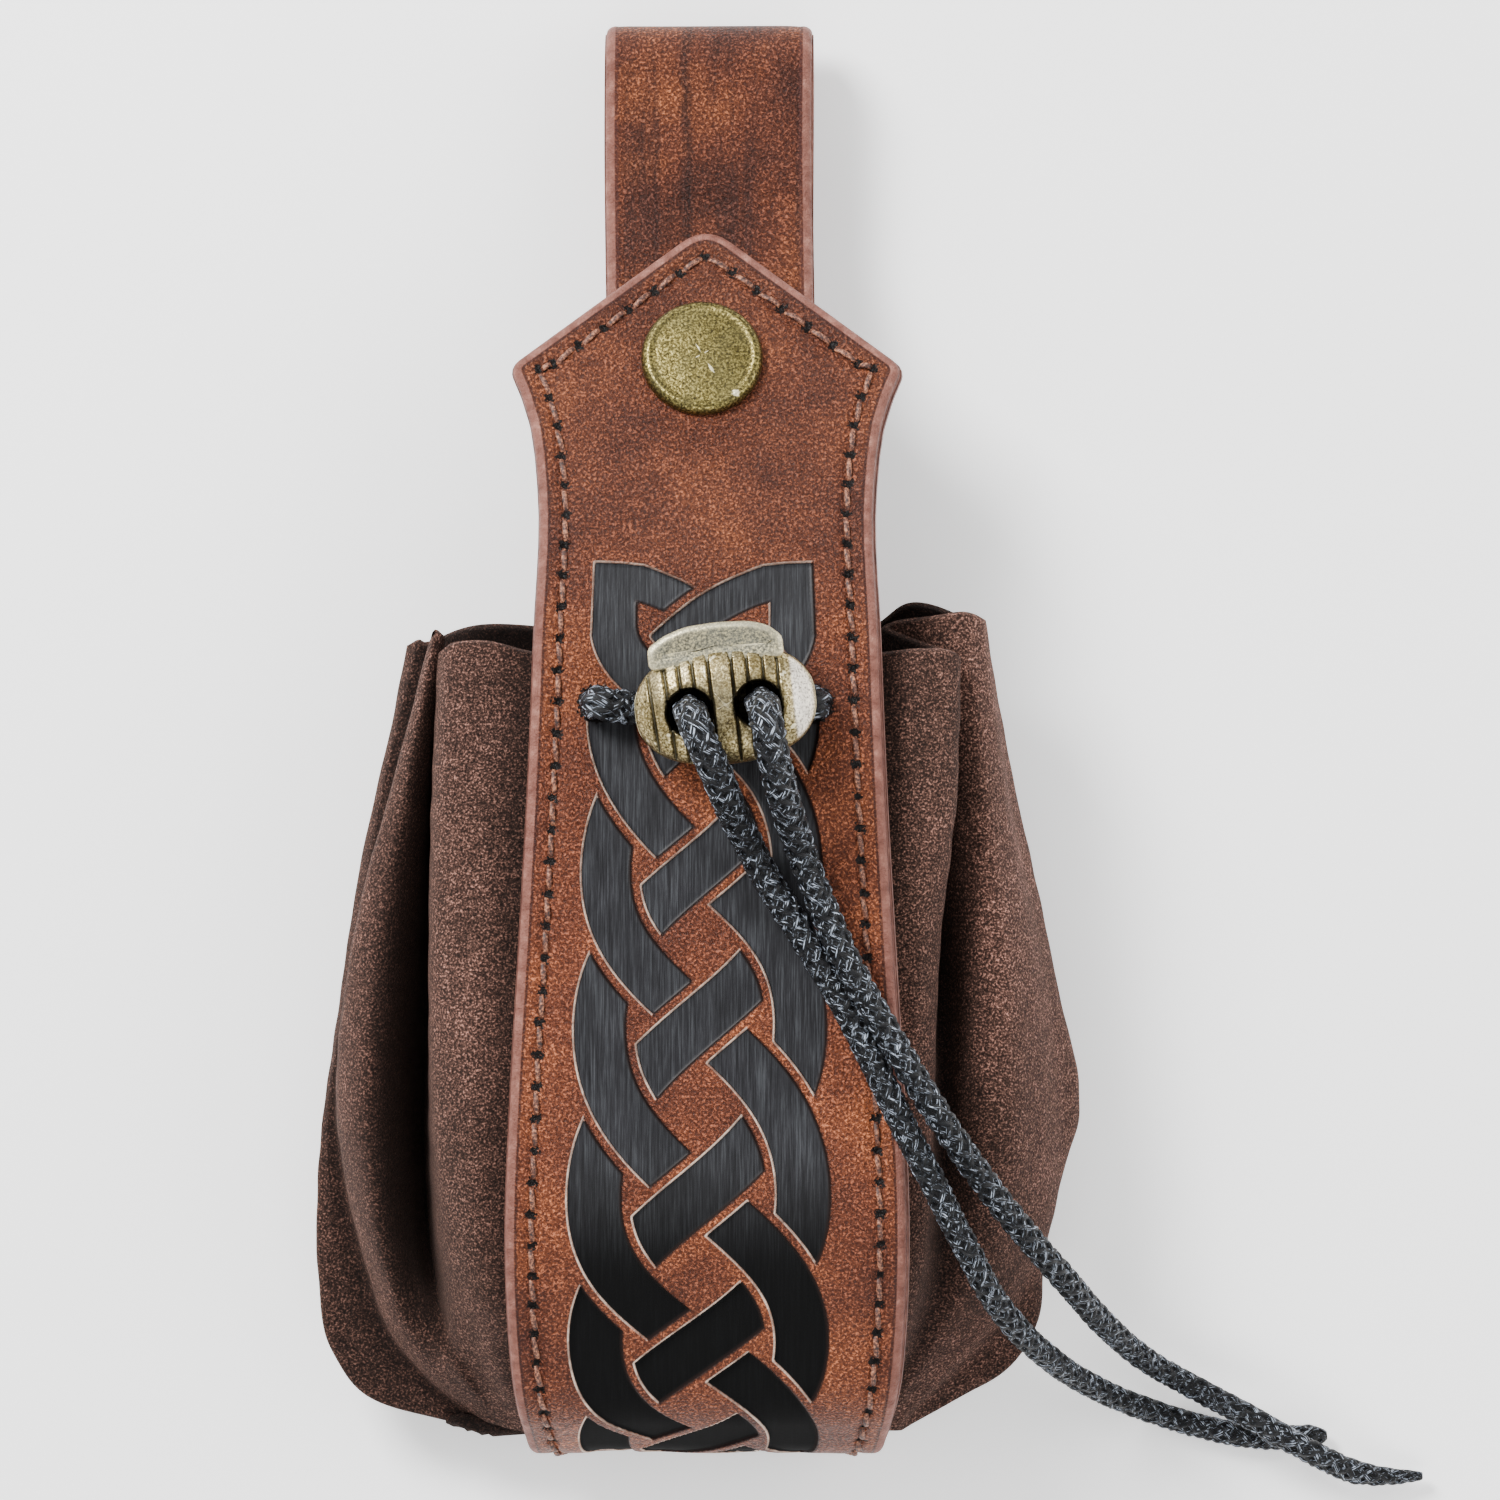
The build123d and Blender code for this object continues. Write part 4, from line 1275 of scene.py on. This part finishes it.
PAINTED_LIGHT_RIGHT = [
    (0.5, 0.6, 0.6, 0.6),
    (1.2, 1.15, 0.85, 0.8),
    (1.45, 1.3, 0.95, 0.85),
    (1.4, 1.25, 0.9, 0.85),
    (1.4, 1.2, 0.95, 0.8),
    (1.2, 0.8, 0.85, 0.75),
    (0.7, 0.02, 0.35, 0.5),
    (1.0, 0.75, 0.8, 0.7),
    (1.15, 1.05, 0.9, 0.75),
    (1.0, 1.0, 0.85, 0.6),
    (0.4, 0.35, 0.4, 0.4),
    (0.3, 0.3, 0.3, 0.3),
]
FOLD_FRONT = [[(0, 9.4, 30.4), (0, -20, 35.0), (0, -50, 35.4), (0, -72, 31.4), (0, -87, 13.5)]]
POUCH_LEVELS = 170
POUCH_SAMPLES = 16
SUEDE_THICK = 1.3


def smooth_line(points, count):
    """A smooth curve through given points, evenly read along its length."""
    points = np.array(points, float)
    s = np.concatenate([[0], np.cumsum(np.linalg.norm(np.diff(points, axis=0), axis=1))])
    at = np.linspace(0, s[-1], count)
    return np.stack([smooth_interp(at, s, points[:, i]) for i in range(3)], axis=1)


def closed_spline(points, samples):
    """Centripetal Catmull-Rom curve through a closed ring of points, for every level at once."""
    previous, following, after = (np.roll(points, shift, axis=1) for shift in (1, -1, -2))
    gap = [np.linalg.norm((b - a)[..., :3], axis=2, keepdims=True) ** 0.5 + 1e-6 for a, b in
           ((previous, points), (points, following), (following, after))]
    rows = []
    for t in np.arange(samples) / samples:
        t0, t1 = 0, gap[0]
        t2 = t1 + gap[1]
        t3 = t2 + gap[2]
        u = t1 + (t2 - t1) * t
        a1 = (t1 - u) / (t1 - t0) * previous + (u - t0) / (t1 - t0) * points
        a2 = (t2 - u) / (t2 - t1) * points + (u - t1) / (t2 - t1) * following
        a3 = (t3 - u) / (t3 - t2) * following + (u - t2) / (t3 - t2) * after
        b1 = (t2 - u) / (t2 - t0) * a1 + (u - t0) / (t2 - t0) * a2
        b2 = (t3 - u) / (t3 - t1) * a2 + (u - t1) / (t3 - t1) * a3
        rows.append((t2 - u) / (t2 - t1) * b1 + (u - t1) / (t2 - t1) * b2)
    levels, folds = points.shape[:2]
    return np.stack(rows, axis=2).reshape(levels, folds * samples, -1)


def surface_normals(grid):
    """Outward unit normals of a grid of points whose rows are closed rings."""
    across = np.roll(grid, -1, axis=1) - np.roll(grid, 1, axis=1)
    down = np.gradient(grid, axis=0)
    normal = np.cross(across, down)
    return normal / np.maximum(np.linalg.norm(normal, axis=2, keepdims=True), 1e-9)


def suede_pouch():
    folds = FOLDS_LEFT + FOLDS_BACK + FOLDS_RIGHT + FOLD_FRONT
    painted_light_levels = PAINTED_LIGHT_LEFT + [(0.5, 0.6, 0.6, 0.6)] * len(FOLDS_BACK) + PAINTED_LIGHT_RIGHT + [(0.5, 0.5, 0.5, 0.5)]
    lines = np.stack([smooth_line(fold, POUCH_LEVELS) for fold in folds], axis=1)
    way_down = np.linspace(0, 1, POUCH_LEVELS)
    painted_light_lines = np.stack([np.interp(way_down, PAINTED_LIGHT_PLACES, painted_light) for painted_light in painted_light_levels], axis=1)[..., None]
    grid = closed_spline(np.concatenate([lines, painted_light_lines], axis=2), POUCH_SAMPLES)
    painted_light = np.clip(grid[..., 3], 0, 1.6)
    grid = grid[..., :3]
    out = surface_normals(grid)
    centre = grid.mean(axis=1, keepdims=True)
    if ((grid - centre) * out).sum() < 0:
        out = -out
    x, y = grid[..., 0], grid[..., 1]
    along = np.arange(grid.shape[1])[None, :] * 0.9 + 0 * x
    wrinkle = 0.14 * waves(along, y * 0.35, 11, 26.0) + 0.08 * waves(x, y, 12, 7.0)
    grid = grid + out * wrinkle[..., None]
    grid[..., 2] = np.maximum(grid[..., 2], 2.75)
    inside = grid - out * SUEDE_THICK
    levels, ring = grid.shape[:2]
    rim = (grid[0] + inside[0]) / 2 + np.array([0, 0.45, 0])
    rows = [inside[i] for i in reversed(range(levels))] + [rim] + [grid[i] for i in range(levels)]
    faces = tube_faces(len(rows), ring, 0)[:-2]
    vertices = np.concatenate(rows)
    faces += end_cap(len(vertices), (len(rows) - 1) * ring, ring)
    faces += [tuple(reversed(f)) for f in end_cap(len(vertices) + 1, 0, ring)]
    vertices = np.concatenate([vertices, [grid[-1].mean(axis=0)], [inside[-1].mean(axis=0)]])
    obj = add_mesh("suede_pouch", vertices * MM, faces)
    # Painted shade: the pouch's inside is darkened to a quarter of its outside; the rim and the bottom caps get
    # fixed values
    painted_light_rows = (
        [painted_light[i] * 0.25 for i in reversed(range(levels))] + [painted_light[0]] + [painted_light[i] for i in range(levels)]
    )
    add_attribute(obj, "painted_light", np.concatenate(painted_light_rows + [[0.5, 0.2]]))
    return obj


def end_cap(centre, base, ring):
    return [(base + i, base + (i + 1) % ring, centre) for i in range(ring)]


# ------------------------------------------------------------------ materials


def grain_normal(shader, coords, scale, depth, ink=None):
    """Leather grain: small uneven pebbles, flattened where the leather is inked."""
    pebbles = shader.noise(coords, scale, 2.0, 0.5, 0.6)
    pores = shader.noise(coords, 5.0, 2.0, 0.7)
    height = shader.math("ADD", pebbles, shader.math("MULTIPLY", pores, 0.25))
    if ink is not None:
        height = shader.math("MULTIPLY", height, shader.spread(ink, -0.15, 0.1, 0.06, 1.0))
    return shader.bump(height, depth), pebbles


def grain_highlight_and_shade(shader, colour, pebbles):
    """Paints highlights on the tops of the grain and shade in the lines between."""
    painted_light = shader.ramp(
        pebbles, [
            (0.36, (0.4, 0.36, 0.36)), (0.48, (0.76, 0.74, 0.74)), (0.56, (1.1, 1.15, 1.2)),
            (0.66, (2.9, 3.5, 4.2)),
        ]
    )
    return shader.mix(1.0, colour, painted_light, "MULTIPLY")


def leather_colour(shader, coords, light, middle, dark, slow_scale):
    slow = shader.noise(coords, slow_scale, 5.0, 0.6)
    return shader.ramp(slow, [(0.32, dark), (0.5, middle), (0.68, light)])


def strap_material():
    """Brown pebbled leather with the inked braid, painted edge and pricked stitch holes; painted highlights and
    shade on its grain and braid edges, painted shade in the holes and on the braid lower down.
    """
    shader = Shader("strap_leather", 0.42)
    shader.set("Specular IOR Level", 0.15)
    flat = shader.coords(attribute="flat")
    ink = shader.value("ink")
    normal, pebbles = grain_normal(shader, flat, 3.0, 0.3, ink)
    colour = leather_colour(shader, flat, srgb(128, 69, 40), srgb(98, 50, 30), srgb(68, 33, 22), 0.055)
    # Painted highlights on the grain's tops and painted shade between them
    colour = grain_highlight_and_shade(shader, colour, pebbles)
    axes = shader.split(flat)
    down = shader.spread(axes["Y"], -48.0, -68.0, smooth=True)
    glow = shader.ramp(shader.spread(axes["Y"], 60.0, -60.0), [
        (0, 0.62), (0.35, 0.72), (0.75, 1.0), (1, 0.95),
    ])
    colour = shader.mix(1.0, colour, glow, "MULTIPLY")

    streaks = shader.noise(shader.coords((5.0, 0.16, 1.0), "flat"), 1.0, 4.0, 0.7)
    blotch = shader.noise(flat, 0.12, 3.0)
    inked = shader.spread(ink, 0.07, -0.07)
    grey = shader.ramp(streaks, [(0.34, srgb(20, 20, 22)), (0.5, srgb(38, 38, 41)), (0.68, srgb(62, 64, 67))])
    grey = shader.mix(shader.spread(blotch, 0.35, 0.65, 0.0, 0.5), grey, srgb(22, 22, 24))
    # Painted shade: the ink turns near black lower down the front, where the strap curves away from the light
    grey = shader.mix(shader.math("MULTIPLY", down, 0.95), grey, srgb(4, 4, 4))
    colour = shader.mix(inked, colour, grey)

    near = shader.math("ABSOLUTE", shader.math("SUBTRACT", ink, 0.1))
    line = shader.spread(near, 0.17, 0.05)
    facing = shader.value("facing")
    patchy = shader.spread(shader.noise(flat, 0.3, 3.0, 0.7), 0.4, 0.6, 0.35, 1.0)
    lit = shader.math("MULTIPLY", shader.spread(facing, -0.1, 0.5), patchy)
    low = shader.spread(axes["Y"], 20.0, -50.0, 0.45, 1.0)
    lit = shader.math("MULTIPLY", lit, low)
    colour = shader.mix(shader.math("MULTIPLY", line, lit), colour, srgb(222, 196, 178))
    shade = shader.spread(facing, 0.1, -0.35, 0.0, 0.85)
    wall = shader.spread(shader.math("ABSOLUTE", shader.math("ADD", ink, 0.06)), 0.34, 0.12)
    colour = shader.mix(shader.math("MULTIPLY", wall, shade), colour, srgb(24, 15, 13))

    inset = shader.value("inset")
    creased = shader.spread(shader.math("ABSOLUTE", shader.math("SUBTRACT", inset, 1.3)), 0.26, 0.08)
    colour = shader.mix(shader.math("MULTIPLY", creased, 0.75), colour, srgb(46, 22, 18))
    painted = shader.spread(inset, 1.2, 1.05)
    paint = edge_paint_colour(shader, flat)
    colour = shader.mix(painted, colour, paint)

    # Painted shade in the needle holes: a near black star round each hole
    wobble = shader.math(
        "ADD", shader.value("hole"), shader.spread(shader.noise(flat, 2.2, 2.0), 0.35, 0.65, -0.3, 0.3)
    )
    hole_shade = shader.spread(wobble, 0.76, 0.64)
    colour = shader.mix(hole_shade, colour, srgb(10, 6, 5))
    shader.feed("Base Color", colour)
    shader.feed("Normal", normal)
    rough = shader.ramp(shader.noise(flat, 0.8, 3.0), [(0.3, 0.3), (0.7, 0.46)])
    rough = shader.mix(inked, rough, (0.45, 0.45, 0.45))
    rough = shader.mix(shader.math("MULTIPLY", down, inked), rough, (1.0, 1.0, 1.0))
    shader.feed("Roughness", shader.mix(painted, rough, (0.5, 0.5, 0.5)))
    return shader.material


def edge_paint_colour(shader, coords):
    streak = shader.noise(coords, 0.5, 4.0, 0.65)
    return shader.ramp(streak, [
        (0.3, srgb(96, 58, 49)), (0.55, srgb(126, 82, 71)), (0.75, srgb(158, 112, 98)),
    ])


def lining_material():
    shader = Shader("lining_leather", 0.6)
    flat = shader.coords(attribute="flat")
    normal, _ = grain_normal(shader, flat, 1.6, 0.12)
    body = leather_colour(shader, flat, srgb(104, 62, 48), srgb(84, 48, 38), srgb(62, 36, 30), 0.1)
    painted = shader.spread(shader.value("inset"), 1.2, 1.0)
    shader.feed("Base Color", shader.mix(painted, body, edge_paint_colour(shader, flat)))
    shader.feed("Normal", normal)
    return shader.material


def loop_material():
    """The belt loop: redder leather with dark streaks along it."""
    shader = Shader("loop_leather", 0.5)
    shader.set("Specular IOR Level", 0.15)
    flat = shader.coords(attribute="flat")
    normal, pebbles = grain_normal(shader, flat, 3.0, 0.28)
    colour = leather_colour(shader, flat, srgb(104, 55, 30), srgb(77, 38, 23), srgb(50, 24, 16), 0.06)
    streaks = shader.noise(shader.coords((0.42, 0.02, 1.0), "flat"), 1.0, 4.0, 0.6)
    dark = shader.spread(streaks, 0.52, 0.66, 0.0, 0.6)
    colour = shader.mix(dark, colour, srgb(40, 21, 17))
    axes = shader.split(flat)
    wander = shader.spread(shader.noise(flat, 0.09, 3.0), 0.3, 0.7, LOOP_CREASE_X - 0.7, LOOP_CREASE_X + 0.7)
    off = shader.math("ABSOLUTE", shader.math("SUBTRACT", axes["X"], wander))
    colour = shader.mix(shader.spread(off, 0.9, 0.15, 0.0, 0.55), colour, srgb(30, 16, 13))
    # Painted highlights on the grain's tops and painted shade between them
    colour = grain_highlight_and_shade(shader, colour, pebbles)
    inset = shader.value("inset")
    creased = shader.spread(shader.math("ABSOLUTE", shader.math("SUBTRACT", inset, 1.4)), 0.3, 0.1)
    colour = shader.mix(shader.math("MULTIPLY", creased, 0.6), colour, srgb(64, 34, 30))
    colour = shader.mix(shader.spread(inset, 1.25, 1.1), colour, edge_paint_colour(shader, flat))
    shader.feed("Base Color", colour)
    shader.feed("Normal", normal)
    return shader.material


def thread_material():
    shader = Shader("brown_thread", 0.55)
    flat = shader.coords(attribute="flat")
    ply = shader.noise(flat, 2.6, 3.0, 0.7)
    shader.feed("Base Color", shader.ramp(ply, [
        (0.38, srgb(30, 15, 11)), (0.5, srgb(84, 43, 28)), (0.64, srgb(168, 112, 82)),
    ]))
    shader.feed("Normal", shader.bump(ply, 0.12))
    return shader.material


def suede_material():
    """Dark brown suede: a soft mottled nap, with painted light on its fold crests and painted shade in its folds.
    """
    shader = Shader("brown_suede", 0.95)
    place = shader.coords()
    nap = shader.noise(place, 3.6, 3.0, 0.65)
    fluff = shader.noise(place, 0.5, 4.0, 0.7)
    slow = shader.noise(place, 0.05, 3.0)
    base = shader.ramp(slow, [(0.3, srgb(56, 40, 34)), (0.7, srgb(74, 53, 46))])
    speckle = shader.ramp(
        nap, [
            (0.38, (0.16, 0.15, 0.15)), (0.5, (0.66, 0.64, 0.64)), (0.57, (1.5, 1.42, 1.4)),
            (0.66, (5.4, 5.0, 4.9)),
        ]
    )
    patches = shader.ramp(fluff, [(0.36, 0.7), (0.64, 1.3)])
    colour = shader.mix(1.0, base, speckle, "MULTIPLY")
    colour = shader.mix(1.0, colour, patches, "MULTIPLY")
    # Painted light and shade from the fold values: near black in deep folds, up to twice as bright on lit crests
    depth = shader.ramp(shader.math("DIVIDE", shader.value("painted_light"), 1.6), [
        (0.03, 0.05), (0.19, 0.24), (0.375, 0.6), (0.625, 1.15), (1.0, 2.1),
    ])
    colour = shader.mix(1.0, colour, depth, "MULTIPLY")
    shader.feed("Base Color", colour)
    shader.set("Specular IOR Level", 0.15)
    shader.set("Sheen Weight", 0.12)
    shader.set("Sheen Roughness", 0.5)
    shader.set("Sheen Tint", (*srgb(190, 150, 135), 1))
    shader.feed("Normal", shader.bump(nap, 0.35, under=shader.bump(fluff, 0.3)))
    return shader.material


def cord_material():
    """Black waxed cord: dark strands with painted bluish glints on their fine fibres."""
    shader = Shader("black_waxed_cord", 0.34)
    shader.set("Specular IOR Level", 0.3)
    fibres = shader.noise(shader.coords((1.0, 1.0, 4.0), "fibre"), 1.5, 4.0, 0.7)
    glint_noise = shader.noise(shader.coords((0.9, 1.0, 3.2), "fibre"), 1.2, 2.0, 0.6)
    dark = shader.ramp(fibres, [(0.42, srgb(2, 2, 3)), (0.54, srgb(7, 8, 11)), (0.66, srgb(26, 30, 38))])
    # Painted glints: bluish highlights on some fibres
    light = shader.spread(glint_noise, 0.6, 0.65)
    core = shader.spread(shader.value("strand"), 0.2, 0.6)
    colour = shader.mix(shader.math("MULTIPLY", light, core), dark, srgb(196, 208, 226))
    shader.feed("Base Color", shader.mix(core, srgb(7, 7, 9), colour))
    shader.feed("Normal", shader.bump(fibres, 0.25))
    return shader.material


def brass_material(name, light, middle, dark, speck, roughness=0.34):
    """Antique brass: mottled, dark in its low places and bright on rubbed ones, with painted highlights on its
    edges and the lock's right end and painted shade in the lock's holes and grooves.
    """
    shader = Shader(name, roughness, 1.0)
    place = shader.coords()
    mottle = shader.noise(place, 3.4, 3.0, 0.6)
    slow = shader.noise(place, 0.28, 3.0)
    colour = shader.ramp(mottle, [(0.34, dark), (0.5, middle), (0.64, light)])
    colour = shader.mix(shader.spread(slow, 0.4, 0.65, 0.0, 0.35), colour, speck)
    geometry = shader.nodes.new("ShaderNodeNewGeometry")
    # Rubbed edges, partly real wear and partly a painted highlight; dark patina in the hollows
    wear_and_highlight = shader.spread(geometry.outputs["Pointiness"], 0.515, 0.57)
    grimy = shader.spread(geometry.outputs["Pointiness"], 0.47, 0.42)
    colour = shader.mix(shader.math("MULTIPLY", wear_and_highlight, 0.8), colour, srgb(244, 234, 196))
    colour = shader.mix(shader.math("MULTIPLY", grimy, 0.92), colour, srgb(24, 19, 13))
    # Painted highlight on the lock's right end
    painted_end_highlight = shader.math("MULTIPLY", shader.value("end_highlight"), shader.spread(mottle, 0.34, 0.52, 0.2, 0.75))
    colour = shader.mix(painted_end_highlight, colour, srgb(246, 238, 228))
    # Painted shade: near black in the lock's cord holes and groove bottoms
    colour = shader.mix(shader.math("MULTIPLY", shader.value("recess_shade"), 0.97), colour, srgb(9, 8, 6))
    shader.feed("Base Color", colour)
    shader.feed("Roughness", shader.ramp(mottle, [(0.3, roughness + 0.2), (0.7, roughness - 0.06)]))
    shader.feed("Normal", shader.bump(mottle, 0.05))
    return shader.material


def steel_material():
    shader = Shader("spring_steel", 0.3, 1.0)
    marks = shader.noise(shader.coords(), 1.0, 4.0)
    shader.feed("Base Color", shader.ramp(marks, [(0.3, srgb(120, 118, 112)), (0.7, srgb(176, 174, 168))]))
    return shader.material


def dress_nodes():
    """Gives the CAD parts that stay in view their finished materials."""
    brass = brass_material(
        "old_brass", srgb(206, 188, 128), srgb(150, 132, 80), srgb(78, 64, 38), srgb(128, 120, 84)
    )
    steel = steel_material()
    cord = cord_material()
    for node in ("snap_socket", "snap_stud", "snap_post", "loop_rivet_posts", "loop_rivet_caps"):
        dress(node, brass)
    dress("lock_spring", steel)
    dress("mouth_cord", cord)


def dress(node, material):
    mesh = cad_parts[node].data
    mesh.materials.clear()
    mesh.materials.append(material)


# ------------------------------------------------------------------ main

make_camera()
make_cords()
make_floor()
make_lights()


def make_strap():
    pieces = [
        (strap_outer(), strap_material(), "strap_leather", ("front_strap_outer", "back_strap_outer")),
        (strap_lining(), lining_material(), "lining_leather", ("front_strap_lining", "back_strap_lining")),
        (
            stitching("strap_stitching", stitch_holes(), strap_bend),
            thread_material(),
            "thread",
            ("front_stitching", "back_stitching"),
        ),
    ]
    for piece, material, slot, nodes in pieces:
        piece.data.materials.append(material)
        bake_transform(piece)
        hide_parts(*nodes)


def make_loop():
    piece = belt_loop()
    piece.data.materials.append(loop_material())
    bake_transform(piece)
    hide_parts("belt_loop", "belt_loop_tab")


def make_metal():
    cap_brass = brass_material(
        "olive_brass", srgb(176, 162, 98), srgb(98, 88, 50), srgb(42, 37, 22), srgb(84, 80, 56), 0.34
    )
    lock_brass = brass_material(
        "lock_brass", srgb(218, 202, 152), srgb(142, 126, 84), srgb(66, 55, 36), srgb(120, 118, 104)
    )
    plunger_brass = brass_material(
        "grey_brass", srgb(216, 204, 158), srgb(138, 134, 116), srgb(72, 70, 58), srgb(128, 132, 124), 0.42
    )
    pieces = [
        (snap_cap(), cap_brass, "front_strap", "snap_cap"),
        (lock_body(), lock_brass, "cord_lock", "lock_body"),
        (lock_plunger(), plunger_brass, "lock_plunger", "lock_plunger"),
    ]
    for piece, material, body, node in pieces:
        piece.data.materials.append(material)
        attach(piece, body)
        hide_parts(node)


def make_pouch():
    piece = suede_pouch()
    piece.data.materials.append(suede_material())
    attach(piece, "pouch")
    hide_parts("pouch_shell")


make_strap()
make_loop()
make_metal()
make_pouch()
dress_nodes()
